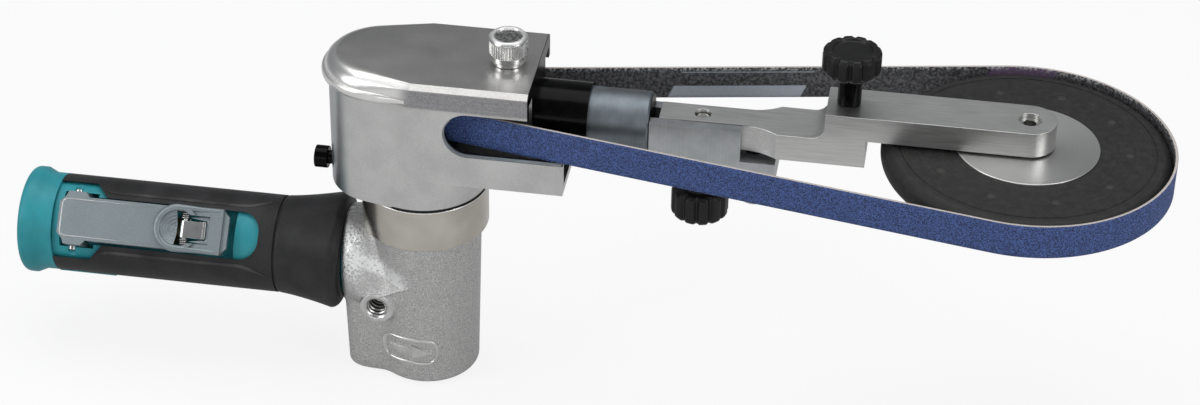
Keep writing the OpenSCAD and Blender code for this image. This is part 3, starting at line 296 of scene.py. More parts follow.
# Moulded rubber or plastic between two tones, with a fine grain
def mouldedRecipe(dark, light, rough, grainScale, strength):
    def recipe(place):
        grain = place.noise(grainScale, 4)
        cloud = place.noise(90, 3)
        return {"Base Color": cloud.step(0.3, 0.7).mix(dark, light), "Specular IOR Level": 0.3,
                "Roughness": grain * 0.16 + rough, "bump": (grain, strength, 0.0003)}
    return recipe


def oxideRecipe(place):
    cloud = place.noise(220, 3)
    return {"Base Color": cloud.step(0.3, 0.7).mix(grey(0.0012), grey(0.003)),
            "Specular IOR Level": 0.09, "Roughness": cloud * 0.1 + 0.14,
            "bump": (place.noise(1500, 2), 0.05, 0.0002)}


# The marks on the tyre's face are paler than the rubber
def tyreRecipe(place):
    radius = radiusAt(place, wheelX * mm)
    x, y, _ = place.parts()
    turn = 2 * math.pi / markCount
    fan = y.apply("ARCTAN2", x - wheelX * mm) * (1 / turn) + (markCount + 0.5)
    sideways = (fan.apply("FRACT") - 0.5) * turn * radius
    outward = radius - markRing * mm
    spot = 1.0 - (sideways * sideways + outward * outward).apply("SQRT").step(0.0012, 0.0016)
    ring = radius.streaks(900, 3)
    dust = place.noise(340, 5, 0.65)
    speck = place.noise(2600, 2)
    tone = (dust * 0.6 + ring * 0.15 + speck * 0.3).step(0.34, 0.86) + spot * 0.7
    return {"Base Color": tone.apply("MINIMUM", 1.0).mix((0.0055, 0.0054, 0.0053), (0.036, 0.0345, 0.033)),
            "Roughness": dust * 0.2 + 0.55, "bump": (dust + speck * 0.5, 0.22, 0.0003)}


def leverRecipe(place):
    blast = place.noise(2600, 3)
    cloud = place.noise(60, 2)
    tone = (cloud * 0.3 + blast * 0.7).step(0.3, 0.7)
    return {"Base Color": tone.mix((0.22, 0.26, 0.275), (0.29, 0.335, 0.355)), "Metallic": 0.7,
            "Roughness": blast * 0.14 + 0.4, "bump": (blast, 0.12, 0.0002)}


# The belt: uv runs along the belt in metres and round its section, side is 1 outside and 0 inside
def beltRecipe(place):
    uv = place.node("ShaderNodeTexCoord", {}, {}, "UV")
    side = place.node("ShaderNodeAttribute", {"attribute_name": "side"}, {}, "Fac")
    along, across, _ = uv.parts()
    grain = place.cells(1900)
    fine = place.noise(2600, 3)
    coarse = place.noise(1100, 2)
    grit = (grain * 0.7 + fine * 0.3 + coarse * 0.3).step(0.36, 0.84)
    blue = grit.mix((0.004, 0.008, 0.040), (0.070, 0.128, 0.36))
    weft = (along * 9000.0).apply("SINE") * (across * 9000.0).apply("SINE")
    woven = (weft * 0.12 + fine * 0.35 + coarse * 0.65).step(0.39, 0.64)
    cloth = woven.mix((0.008, 0.008, 0.009), (0.17, 0.17, 0.18))
    slant = along + across * 0.45
    bar = slant.step(0.4969, 0.4973) - slant.step(0.5452, 0.5456)
    low = across.step(-0.0062, -0.0060) - across.step(-0.0014, -0.0012)
    line = across.step(0.0042, 0.0043) - across.step(0.0046, 0.0047)
    mark = (bar * low + bar * line * 0.6) * (fine * 0.5 + 0.62)
    patch = slant.step(0.4090, 0.4094) - slant.step(0.4330, 0.4334)
    printed = mark.apply("MINIMUM", 1.0).mix(cloth, (0.56, 0.61, 0.68))
    inner = (patch * (fine * 0.5 + 0.4)).mix(printed, (0.16, 0.10, 0.20))
    fray = across.step(0.0045, 0.0062) * coarse.step(0.5, 0.58)
    inner = fray.mix(inner, (0.42, 0.42, 0.43))
    edge = (side - 0.5).apply("ABSOLUTE").step(0.12, 0.3)
    worn = fine.mix((0.42, 0.34, 0.30), (0.72, 0.70, 0.68))
    return {"Base Color": edge.mix(worn, side.step(0.45, 0.55).mix(inner, blue)),
            "Roughness": fine * 0.2 + 0.55,
            "bump": (side * grain * 1.6 + fine * 0.5 + (1.0 - side) * weft * 0.2, 0.55, 0.0003)}


recipes = {
    "cast_aluminium": castRecipe, "polished_aluminium": polishedRecipe, "satin_aluminium": satinRecipe,
    "blued_steel": groundSteelRecipe, "nickel": nickelRecipe, "black_oxide": oxideRecipe,
    "tyre_rubber": tyreRecipe, "lever_steel": leverRecipe, "abrasive_cloth": beltRecipe,
    "steel": metalRecipe((0.44, 0.44, 0.43), (0.62, 0.62, 0.60), 0.24),
    "bearing_steel": metalRecipe(grey(0.48), grey(0.66), 0.2),
    "spring_steel": metalRecipe(grey(0.36), grey(0.56), 0.24),
    "knurled_steel": knurledRecipe,
    "latch_steel": metalRecipe((0.66, 0.66, 0.65), (0.84, 0.84, 0.83), 0.1),
    "brass": metalRecipe((0.52, 0.36, 0.13), (0.72, 0.54, 0.24), 0.24),
    "black_plastic": mouldedRecipe(grey(0.006), grey(0.012), 0.3, 1800, 0.05),
    "grip_rubber": mouldedRecipe((0.015, 0.015, 0.0157), (0.028, 0.028, 0.0295), 0.42, 1500, 0.4),
    "teal_composite": mouldedRecipe((0.027, 0.275, 0.32), (0.037, 0.335, 0.39), 0.34, 1300, 0.06),
    "felt": mouldedRecipe((0.55, 0.52, 0.44), (0.72, 0.69, 0.60), 0.75, 1200, 0.5),
    "blade_resin": mouldedRecipe((0.22, 0.13, 0.07), (0.34, 0.21, 0.11), 0.45, 900, 0.1),
}
materials = {slot: makeMaterial(slot, recipe) for slot, recipe in recipes.items()}
extras = {
    "turned": turnedRecipe,
    "thread": threadRecipe,
    # Painted highlight: near-white metal for the collar's edge bead and the roof rim
    "paintedHighlight": metalRecipe((0.86, 0.85, 0.83), (0.95, 0.94, 0.92), 0.3),
    # Painted reflection: a pale bluish lip for the near slot's edge
    "slotLip": mouldedRecipe((0.27, 0.30, 0.315), (0.36, 0.39, 0.405), 0.4, 1500, 0.05),
    # Rubbed bright metal, also painted lighter as a highlight, for the side hole's ring and the cartouche
    "rubbedHighlight": metalRecipe((0.58, 0.58, 0.57), (0.74, 0.74, 0.73), 0.26),
    # Painted highlight for the line along the lever's edges
    "leverHighlight": metalRecipe((0.50, 0.52, 0.53), (0.62, 0.64, 0.65), 0.3),
    # Painted highlight for the grip's border lines
    "borderHighlightRubber": mouldedRecipe(grey(0.022), (0.075, 0.073, 0.072), 0.5, 1100, 0.6),
    "shade": mouldedRecipe(grey(0.004), grey(0.008), 0.6, 900, 0.1),
}
materials.update({name: makeMaterial(name, recipe) for name, recipe in extras.items()})
for name, item in nodes.items():
    item.data.materials.clear()
    item.data.materials.append(materials[slotOf[name]])
print("materials made:", len(materials))


# Piece makers

# Smooth faces, with sharp edges above the angle
def smooth(mesh, angle):
    mesh.polygons.foreach_set("use_smooth", np.ones(len(mesh.polygons), bool))
    mesh.set_sharp_from_angle(angle=math.radians(angle))


# A new object in the scene
def newObject(name, data):
    made = bpy.data.objects.new(name, data)
    bpy.context.scene.collection.objects.link(made)
    return made


# Links a piece, gives it its slot's material or the one given, hangs it on the CAD body that it rides and
# hides the CAD nodes that it stands for
def mount(mesh, name, slot, body, stands=(), material=None):
    piece = newObject(name, mesh)
    mesh.materials.clear()
    mesh.materials.append(materials[material or slot])
    if body:
        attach(piece, body)
    if stands:
        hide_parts(*stands)
    return piece


# A copy of a CAD node with merged points, clean flats and rounded edges; angles are in degrees
dressing = {"merge": 1e-6, "flat": 0.4, "sharp": 32, "segments": 2}


def dress(node, width, material=None):
    mesh = nodes[node].data.copy()
    shape = bmesh.new()
    shape.from_mesh(mesh)
    bmesh.ops.remove_doubles(shape, verts=shape.verts, dist=dressing["merge"])
    bmesh.ops.dissolve_limit(shape, angle_limit=math.radians(dressing["flat"]), verts=shape.verts,
                             edges=shape.edges)
    shape.to_mesh(mesh)
    shape.free()
    if "custom_normal" in mesh.attributes:
        mesh.attributes.remove(mesh.attributes["custom_normal"])
    smooth(mesh, dressing["sharp"])
    words = node.split("_")
    piece = mount(mesh, words[0] + "".join(w.title() for w in words[1:]) + "Skin", slotOf[node],
                  bodyOf[node], (node,), material)
    edge = piece.modifiers.new("edge", "BEVEL")
    edge.width = width * mm
    edge.segments = dressing["segments"]
    edge.limit_method = "ANGLE"
    edge.angle_limit = math.radians(dressing["sharp"])
    edge.use_clamp_overlap = True
    edge.harden_normals = True


# A mesh from a grid of points in millimetres: each row is a closed loop unless closeV is off,
# and closeU joins the last row to the first
def gridMesh(name, points, closeU=False, closeV=True, keep=None, angle=40, uv=None):
    rows, cols = points.shape[:2]
    i = np.arange(rows if closeU else rows - 1)[:, None]
    j = np.arange(cols if closeV else cols - 1)[None, :]
    nextI, nextJ = (i + 1) % rows, (j + 1) % cols
    corners = [i * cols + j, nextI * cols + j, nextI * cols + nextJ, i * cols + nextJ]
    faces = np.stack(corners, -1).reshape(-1, 4)
    flat = points.reshape(-1, 3)
    if keep is not None:
        faces = faces[keep(flat[faces].mean(1))]
    mesh = bpy.data.meshes.new(name)
    mesh.from_pydata((flat * mm).tolist(), [], faces.tolist())
    if uv is not None:
        layer = mesh.uv_layers.new(name="belt")
        layer.data.foreach_set("uv", uv.reshape(-1, 2)[faces.ravel()].ravel())
    shape = bmesh.new()
    shape.from_mesh(mesh)
    if uv is None:
        bmesh.ops.remove_doubles(shape, verts=shape.verts, dist=1e-7)
        bmesh.ops.dissolve_degenerate(shape, dist=1e-7, edges=shape.edges)
    bmesh.ops.recalc_face_normals(shape, faces=shape.faces)
    shape.to_mesh(mesh)
    shape.free()
    smooth(mesh, angle)
    return mesh


# A mounted piece from a grid; the settings of the grid go on to gridMesh
def addGrid(name, points, slot, body, stands=(), material=None, **grid):
    return mount(gridMesh(name, points, **grid), name, slot, body, stands, material)


# Rounds the corners of an outline: each corner becomes a short curve between its two edges
def rounded(corners, radius, steps=6):
    corners = np.array(corners, float)
    before, corner, after = corners[:-2], corners[1:-1], corners[2:]
    back, ahead = before - corner, after - corner
    backLength = np.linalg.norm(back, axis=1, keepdims=True)
    aheadLength = np.linalg.norm(ahead, axis=1, keepdims=True)
    reach = np.minimum(np.broadcast_to(radius, backLength.shape), np.minimum(backLength, aheadLength) * 0.49)
    start = (corner + back / backLength * reach)[:, None]
    end = (corner + ahead / aheadLength * reach)[:, None]
    t = np.linspace(0, 1, steps)[None, :, None]
    curve = start * (1 - t) ** 2 + 2 * corner[:, None] * t * (1 - t) + end * t ** 2
    return np.vstack([corners[:1], curve.reshape(-1, 2), corners[-1:]])


# Angles round a circle
def circle(count):
    return np.linspace(0, 2 * np.pi, count, endpoint=False)


# Points of a flat arc round (x, y)
def arcAt(x, y, radius, turn):
    return np.stack([x + radius * np.cos(turn), y + radius * np.sin(turn)], 1)


# Points at a radius, angle and height round the z axis
def upright(radius, angle, height):
    return np.stack([radius * np.cos(angle), radius * np.sin(angle), height], -1)


# Turns an outline of (radius, height) round the z axis; wobble changes the radius by angle and height
def lathe(outline, around, wobble=None):
    angle = circle(around)[None, :]
    radius = outline[:, 0:1] + np.zeros_like(angle)
    height = outline[:, 1:2] + np.zeros_like(angle)
    if wobble is not None:
        radius = radius + wobble(angle, height, radius)
    return upright(radius, angle, height)


# A ring of square section by its radii and heights
def sleeve(radii, heights, around):
    (inner, outer), (low, high) = radii, heights
    return lathe(np.array([(inner, low), (outer, low), (outer, high), (inner, high)]), around)


# Moves grid points by a matrix
def place(points, matrix):
    m = np.array(matrix)
    return points @ m[:3, :3].T + m[:3, 3]


# A tube of wire along a path: the section is a circle across the path's direction
def wire(path, radius, sides=12):
    along = np.gradient(path, axis=0)
    along /= np.linalg.norm(along, axis=1, keepdims=True)
    across = np.cross(along, [0.0, 0.0, 1.0])
    across /= np.linalg.norm(across, axis=1, keepdims=True)
    up = np.cross(across, along)
    a = circle(sides)[None, :, None]
    ring = path[:, None] + radius * (np.cos(a) * across[:, None] + np.sin(a) * up[:, None])
    return np.concatenate([np.repeat(path[:1, None], sides, 1), ring, np.repeat(path[-1:, None], sides, 1)])


leverTurn = math.radians(50)
handleAxis = Matrix.Translation((0, 0, handleZ))
onLever = handleAxis @ Matrix.Rotation(leverTurn, 4, "X")
alongHandle = handleAxis @ Matrix.Rotation(math.pi / 2, 4, "Y")

# Machined and moulded nodes, each with the width of its rounded edges
edges = {
    "lock_collar": 0.5, "belt_housing": 0.5, "clamp_screw": 0.3, "guide_tube": 0.5, "tension_fork": 0.3,
    "tracking_screw": 0.5, "tracking_stud": 0.5, "contact_arm": 0.25, "wheel_axle": 0.3,
    "arm_knob_sleeve": 0.3, "handle_core": 0.3, "grip_sleeve": 0.8, "end_cap": 0.4,
    "inlet_bushing": 0.3, "throttle_lever": 0.35, "lever_pin": 0.2, "lock_off_latch": 0.2,
    "latch_pin": 0.2, "drive_wheel_tyre": 0.4,
}
for node, width in edges.items():
    dress(node, width)
dress("wheel_hub", 0.3, material="turned")
print("machined pieces dressed:", len(edges) + 1)


# Motor casting
# Its radius by angle and height is a soft greatest of the body, the duct lobe and the handle boss.
casting = {
    "baseRadius": 19.0, "topRadius": 20.5, "height": 62.5, "round": 2.0, "neck": 18.3,
    "lobeReach": (28.2, 29.4), "lobeHalf": 14.6, "lobeRound": 4.5, "lobeIn": 0.15, "lobeTop": (38.0, 48.0),
    "bossReach": 29.5, "bossHalf": 18.6, "bossRise": 18.5, "bossHeight": 44.0,
    "wedgeHalf": 20.0, "wedgeTip": (-1.8, 44.0), "wedgeSlope": 0.5, "wedgeFoot": 37.5, "wedgeTop": 62.6,
    "wedgeDrop": 5.4, "dropBand": (4, 16), "creaseIn": 0.9, "creaseBand": (0, 0.6), "wedgeFall": 0.55,
    "wedgeSide": (0.45, 0.8), "lobeSink": 0.6, "lobePower": 9, "bossPower": 12, "bodyPower": 16,
    "meetPower": (44, 14), "meetBand": (42, 54), "padRadius": 6.9, "padY": 19.5, "holeRadius": 4.9,
    "rows": ((2.4, 36.0, 76), (36.2, 44.4, 48)), "upperRows": (44.8, 50),
}


# From the first value of a pair to the second by share
def between(pair, share):
    return pair[0] + (pair[1] - pair[0]) * share


# Eases from 0 at low to 1 at high
def ease(value, low, high):
    t = np.clip((value - low) / (high - low), 0, 1)
    return t * t * (3 - 2 * t)


# Depth of a quarter round of the given radius, seen from below: 1 at its foot, 0 at its top
def quarter(z, radius):
    return 1 - np.sqrt(1 - np.clip(1 - z / radius, 0, 1) ** 2)


def castingRadius(angle, z):
    c = casting
    out, side = np.cos(angle), np.abs(np.sin(angle))
    back = np.clip(-out, 1e-4, 1)
    body = c["baseRadius"] - c["round"] * quarter(z, c["round"])
    body = body + (c["topRadius"] - c["baseRadius"]) * z / c["height"]
    reach = between(c["lobeReach"], z / c["lobeTop"][0])
    power = c["lobePower"]
    lobe = ((back / reach) ** power + (side / c["lobeHalf"]) ** power) ** (-1 / power)
    lobe = np.where(out < 0, lobe, c["lobeHalf"] * side) * (1 - c["lobeIn"] * quarter(z, c["lobeRound"]))
    lobe = lobe * (1 - c["lobeSink"] * ease(z, *c["lobeTop"]))
    rise = np.clip((z - c["bossHeight"]) / c["bossRise"], -1, 1)
    across = c["padY"] * out / np.maximum(side, 1e-3)
    tipX, tipZ = c["wedgeTip"]
    crease = np.clip(tipZ + c["wedgeSlope"] * (across - tipX), c["wedgeFoot"], tipZ)
    above = np.clip((z - crease) / (c["wedgeTop"] - crease), 0, 1)
    below = c["wedgeDrop"] * ease(crease - z, *c["dropBand"])
    below = below + c["creaseIn"] * ease(crease - z, *c["creaseBand"])
    wedge = c["wedgeHalf"] * (1 - above) ** c["wedgeFall"] - below
    share = ease(side, *c["wedgeSide"])
    half = c["bossHalf"] * np.sqrt(1 - rise ** 2) * (1 - share) + wedge * share + 1e-3
    power = c["bossPower"]
    boss = ((back / c["bossReach"]) ** power + (side / half) ** power) ** (-1 / power)
    boss = np.where(out < 0, boss, 0)
    power = c["bodyPower"]
    soft = (body ** power + lobe ** power) ** (1 / power)
    # The boss meets the body sharply below and softly above.
    power = between(c["meetPower"], ease(z, *c["meetBand"]))
    soft = (soft ** power + boss ** power) ** (1 / power)
    front = np.sin(angle) < -0.3
    away = np.hypot(across - holeX, z - holeZ)
    pad = ease(c["padRadius"] + 0.5 - away, 0, 1.4) * front
    return soft + pad * np.maximum(c["padY"] / np.maximum(side, 1e-3) - soft, 0)


def makeCasting():
    c = casting
    angle = circle(360)[None, :]
    t = np.linspace(0, 1, 9)
    foot = c["round"] * (1 - np.cos(t * np.pi / 2))
    start, count = c["upperRows"]
    upper = np.linspace(start, c["height"], count)
    heights = np.concatenate([foot, *(np.linspace(*row) for row in c["rows"]), upper])
    height = heights[:, None] + np.zeros_like(angle)
    radius = castingRadius(angle, height)
    first, last = radius[:1], np.full_like(radius[:1], c["neck"])
    radius = np.concatenate([first * 0, first * 0.6, radius, last])
    height = np.concatenate([height[:1], height[:1], height, height[-1:]])
    points = upright(radius, angle, height)

    def clear(middle):
        away = np.hypot(middle[:, 0] - holeX, middle[:, 2] - holeZ)
        return (away > c["holeRadius"]) | (middle[:, 1] > 0)
    addGrid("motorCasting", points, "cast_aluminium", "motor", ("motor_housing",), keep=clear, angle=48)


makeCasting()

# Side handle hole: a rounded ring on the casting and a threaded well behind it
sideHole = {"ring": (3.6, 6.8), "tall": 2.0, "bevel": (0.5, 0.3), "mouth": 4.6, "mouthDrop": 1.1,
            "round": 0.6, "face": 19.9, "sunk": 1.0, "depth": 9.6, "back": 1.0, "minor": 3.2, "thread": 0.9,
            "pitch": 2.0, "wall": 5.2}
toHole = Matrix.Translation((holeX, 0, holeZ)) @ Matrix.Rotation(math.pi / 2, 4, "X")


def makeSideHole():
    s = sideHole
    low, high = s["face"] - s["tall"], s["face"]
    inner, outer = s["ring"]
    inset, drop = s["bevel"]
    ring = rounded([(inner, low), (outer, low), (outer - inset, high - drop), (s["mouth"], high),
                    (inner, high - s["mouthDrop"]), (inner, low)], s["round"])
    addGrid("sideHoleRing", place(lathe(ring, 72), toHole), "cast_aluminium", "motor", material="rubbedHighlight",
            closeU=True)
    floor, start = high - s["depth"], high - s["sunk"]
    back = floor - s["back"]
    depth = np.linspace(start, floor, 90)
    well = np.vstack([[(0, back), (s["wall"], back), (s["wall"], start)],
                      np.stack([np.full_like(depth, s["minor"]), depth], 1), [(0, floor)]])

    # The thread is a wave along the depth that climbs one pitch each turn.
    def thread(angle, height, radius):
        turn = (height / s["pitch"] + angle / (2 * np.pi)) % 1
        wave = np.abs(turn - 0.5) * 2 * s["thread"]
        return np.where(np.abs(radius - s["minor"]) < 1e-6, wave, 0)
    addGrid("sideHoleThread", place(lathe(well, 64, thread), toHole), "cast_aluminium", "motor",
            material="thread", angle=60)


makeSideHole()

# Arrow cartouche on the front of the casting: a raised rounded outline and a plain arrow
cartouche = {"angle": -100.3, "half": (10.5, 5.2), "corner": 4.48, "width": 1.5, "rise": 0.7, "sunk": 0.1,
             "z": 14.6, "shaft": 1.2, "head": 3.1, "from": -7.9, "neck": 1.2, "tip": 8.4}


# Lays flat points (along, up, lift) on the casting's surface
def onCasting(flat):
    angle = math.radians(cartouche["angle"]) + flat[..., 0] / casting["baseRadius"]
    z = cartouche["z"] + flat[..., 1]
    radius = castingRadius(angle, z) + flat[..., 2]
    return upright(radius, angle, z)


# Unit directions to the right of a flat line
def rightOf(ahead):
    return np.stack([ahead[:, 1], -ahead[:, 0]], 1) / np.linalg.norm(ahead, axis=1, keepdims=True)


def makeCartouche():
    c = cartouche
    a, b = c["half"]
    box = [(0, b), (a, b), (a, -b), (-a, -b), (-a, b), (0, b)]
    line = rounded(box, c["corner"], 10)[:-1]
    loop = np.vstack([line, line[:1]])
    steps = np.cumsum(np.r_[0, np.linalg.norm(np.diff(loop, axis=0), axis=1)])
    at = np.linspace(0, steps[-1], 160, endpoint=False)
    path = np.stack([np.interp(at, steps, loop[:, k]) for k in (0, 1)], 1)
    ahead = np.roll(path, -1, 0) - np.roll(path, 1, 0)
    across = rightOf(ahead)
    section = np.linspace(0, np.pi, 7)[None, :, None]
    spread = path[:, None] + across[:, None] * np.cos(section) * c["width"] / 2
    lift = np.broadcast_to(np.sin(section) * c["rise"] - c["sunk"], (*spread.shape[:2], 1))
    flat = np.concatenate([spread, lift], -1)
    addGrid("arrowFrame", onCasting(flat), "cast_aluminium", "motor", material="rubbedHighlight", closeU=True)
    along = np.array([c["from"], c["from"], c["neck"] - 0.05, c["neck"], c["tip"], c["tip"]])
    half = np.array([0, c["shaft"], c["shaft"], c["head"], 0.1, 0])
    steps = np.linspace(0, len(along) - 1, 41)
    along, half = np.interp(steps, np.arange(6), along), np.interp(steps, np.arange(6), half)
    across = np.array([-1, -0.9, 0, 0.9, 1, 1, -1])
    lift = np.array([-0.1, 0.6, 0.75, 0.6, -0.1, -0.2, -0.2])
    flat = np.stack([along[:, None] + 0 * across, half[:, None] * across, lift + 0 * half[:, None]], -1)
    addGrid("arrowMark", onCasting(flat), "cast_aluminium", "motor", material="rubbedHighlight")


makeCartouche()
print("motor casting made")

# Contact wheel's tyre: its edges are fully rounded, a fine groove runs round each face and small marks stand
# in a ring on the upper one
tyre = {"hub": 25.4, "radius": 50.8, "half": 5.1, "round": 4.8, "groove": (44.4, 45.2, 0.25),
        "mark": 1.4, "rise": 0.3}


def makeTyre():
    t = tyre
    half, bend = t["half"], t["round"]
    start, end, deep = t["groove"]
    face = np.concatenate([np.linspace(t["hub"], markRing - 1.7, 6), markRing + np.linspace(-1.5, 1.5, 16),
                           np.linspace(markRing + 2.3, start - 0.1, 6)])
    turn = np.linspace(np.pi / 2, 0, 20)
    arc = arcAt(t["radius"] - bend, half - bend, bend, turn)
    top = np.vstack([np.stack([face, np.full_like(face, half)], 1),
                     [(start, half), (start + 0.1, half - deep), (end - 0.1, half - deep), (end, half)], arc])
    points = lathe(np.vstack([top, (top * [1, -1])[::-1]]), 360)
    radius = np.hypot(points[..., 0], points[..., 1])
    step = 2 * np.pi / markCount
    turns = np.arctan2(points[..., 1], points[..., 0]) / step
    away = np.hypot((turns - np.round(turns)) * step * radius, radius - markRing)
    spot = 1 - ease(away, t["mark"] * 0.7, t["mark"])
    points[..., 2] += t["rise"] * spot * (points[..., 2] > half - 0.01)
    points += [wheelX, 0, beltZ]
    addGrid("wheelTyreSkin", points, "tyre_rubber", bodyOf["wheel_tyre"], ("wheel_tyre",),
            closeU=True, angle=50)


makeTyre()
print("tyre made")


# Knobs
# Fluted hand knobs: the radius dips at each flute.
knob = {"radius": 10.35, "flutes": 12, "depth": 1.15, "flutePower": 1.6, "fluteFade": (3.4, 2.4),
        "recess": 6.6, "recessDepth": 0.9, "lip": 0.5, "footBevel": (1.2, 1.4), "topBevel": 1.3, "round": 0.7}
knobs = {
    "armKnobGrip": {"node": "arm_knob", "x": 152, "foot": 141.9, "top": 150.9, "neck": (4.2, 141.8)},
    "trackingKnobGrip": {"node": "tracking_knob", "x": 100.9, "foot": 88.5, "top": 77.0, "neck": (6.0, 95.7)},
}


def makeKnob(name, node, x, foot, top, neck):
    k = knob
    neckRadius, neckFoot = neck
    # The face away from the neck carries the recess; top may lie below foot.
    up = 1 if top > foot else -1
    high = abs(top - foot)
    stem = abs(neckFoot - foot)
    wide, floor, bevel = k["radius"], high - k["recessDepth"], k["topBevel"]
    inset, rise = k["footBevel"]
    outline = rounded([(0, -stem), (neckRadius, -stem), (neckRadius, 0.01), (wide - inset, 0), (wide, rise),
                       (wide, high - bevel), (wide - bevel, high), (k["recess"] + k["lip"], high),
                       (k["recess"], floor), (0, floor)], k["round"])

    def flute(angle, height, radius):
        wave = np.clip(np.cos(angle * k["flutes"]), 0, 1) ** k["flutePower"]
        reach, fade = k["fluteFade"]
        rim = np.clip((radius - wide + reach) / fade, 0, 1)
        return -k["depth"] * wave * rim
    points = lathe(outline, 240, flute)
    points[..., 2] *= up
    points += [x, 0, foot]
    addGrid(name, points, "black_plastic", bodyOf[node], (node,), angle=50)


for name, settings in knobs.items():
    makeKnob(name, **settings)

# Tension lock knob: upright ridges on its upper part, a plain foot, a shallow recess on top
lockKnob = {"radius": 7.0, "ridges": 44, "depth": 0.3, "foot": 134.75, "top": 143.75,
            "neck": 6.0, "band": 6.8, "seat": 133.05, "pin": 2.5, "tip": 124.5, "plain": 2.2,
            "bevel": 0.9, "recess": (5.1, 4.9, 0.7)}


def makeLockKnob():
    k = lockKnob
    wide, top, foot = k["radius"], k["top"], k["foot"]
    start = foot + k["plain"]
    mouth, floor, deep = k["recess"]
    outline = rounded([(0, k["tip"]), (k["pin"], k["tip"]), (k["pin"], k["seat"]), (k["neck"], k["seat"]),
                       (k["neck"], foot), (k["band"], foot), (k["band"], start), (wide, start + 0.5),
                       (wide, start + 1.0), (wide, top - 1.7), (wide, top - 1.25), (wide, top - k["bevel"]),
                       (wide - k["bevel"], top), (mouth, top), (floor, top - deep), (0, top - deep)], 0.25)

    def ridge(angle, height, radius):
        wave = 0.5 + 0.5 * np.cos(angle * k["ridges"])
        shown = np.clip((height - start) / 0.4, 0, 1) * np.clip((top - 1.3 - height) / 0.3, 0, 1)
        shown = shown * (radius > wide - 0.6)
        return -k["depth"] * wave * shown
    points = lathe(outline, 360, ridge) + [lockX, 0, 0]
    addGrid("lockKnobGrip", points, "knurled_steel", "tension_lock", ("tension_lock_knob",), angle=50)


makeLockKnob()

# Hand guard: a straight flare to a thick rounded lip, turned round the handle and leaning a little at its end
guard = {"start": -54.4, "length": 24.4, "small": 18.2, "large": 21.8, "bore": 16.9, "lip": 3.2, "lean": 1.2,
         "short": 0.35, "flare": 1.35, "foot": (0.8, 0.2, 0.25)}


def makeGuard():
    g = guard
    t = np.linspace(0, 1, 24)
    flare = between((g["small"], g["large"]), t ** g["flare"])
    skin = np.stack([flare, t * (g["length"] - g["lip"])], 1)
    turn = np.linspace(0, np.pi / 2, 12)[1:]
    lip = arcAt(g["large"] - g["lip"], g["length"] - g["lip"], g["lip"], turn)
    inset, edge, rise = g["foot"]
    foot = [(g["bore"], 0), (g["small"] - inset, 0), (g["small"] - edge, rise)]
    outline = np.vstack([foot, skin[1:], lip, [(g["bore"], g["length"])]])
    points = place(lathe(outline, 120), Matrix.Translation((g["start"], 0, 0)) @ alongHandle)
    along = (points[..., 0] - g["start"]) / g["length"]
    points[..., 0] += along ** 2 * (g["lean"] * (points[..., 2] - handleZ) / g["large"] - g["short"])
    addGrid("handGuardSkin", points, "grip_rubber", "motor", ("hand_guard",), closeU=True, angle=50)


makeGuard()

# A thin black sleeve under the guard closes the seams at both of its ends with painted shade
seamShade = {"radius": (16.86, 17.5), "along": (-55.4, -29.3)}
addGrid("guardSeamShade", place(sleeve(seamShade["radius"], seamShade["along"], 96), alongHandle), "grip_rubber",
        "motor", closeU=True)
print("knobs and guard made")

# Grip details: raised border lines beside the window, painted pale as a highlight, and a strip of core along
# the lower edge
border = {"radius": 18.2, "width": 1.5, "rise": 0.45,
          "line": ((-121, 12.6), (-116, 12.0), (-66, 12.0), (-57.5, 15.4))}
strip = {"width": 3.0, "rise": 0.3, "line": ((-138.6, -28.6), (-130, -29.0), (-117, -29.6))}


# Lays flat points (along, round, lift) on the grip, round being measured from the lever's middle
def onGrip(flat):
    turn = flat[..., 1] / border["radius"] - leverTurn
    radius = border["radius"] + flat[..., 2]
    return np.stack([flat[..., 0], radius * np.sin(turn), handleZ + radius * np.cos(turn)], -1)


# A low half-round bead along a line; reach is its half width at each point
def bead(line, reach, rise):
    across = -rightOf(np.gradient(line, axis=0))
    section = circle(14)
    spread = line[:, None] + across[:, None] * (np.cos(section)[None, :] * reach[:, None])[..., None]
    lift = np.sin(section)[None, :, None] * np.broadcast_to(rise, len(line))[:, None, None]
    return np.concatenate([spread, lift], -1)


# Half widths along a line that close to nothing at both ends
def closed(count, half):
    steps = np.arange(count)
    return half * np.clip(np.minimum(steps, steps[::-1]), 0, 1)


def makeGripLines():
    for name, side in (("gripBorderUpper", 1), ("gripBorderLower", -1)):
        line = rounded(np.array(border["line"]) * [1, side], 3.0, 8)
        flat = bead(line, closed(len(line), border["width"] / 2), border["rise"])
        addGrid(name, onGrip(flat), "grip_rubber", "motor", material="borderHighlightRubber", angle=60)
    line = rounded(strip["line"], 3.0, 12)
    taper = np.linspace(1, 0.2, len(line))
    flat = bead(line, closed(len(line), strip["width"] / 2) * taper, strip["rise"])
    addGrid("coreStrip", onGrip(flat), "teal_composite", "motor", angle=60)


makeGripLines()

# Lever: a thick D-shaped rim round the latch and a ridged dish inside it
lever = {"cup": -90.2, "rim": 7.6, "end": -74.6, "wide": (0.7, 1.35), "high": (21.3, 22.2),
         "rise": (0.5, 1.0), "dish": 6.95, "dishTop": 22.2, "dishDeep": 2.9, "dishEnd": -90.7,
         "dishHalf": 6.85, "ridge": 0.1, "ridges": 40, "sheet": 0.3}


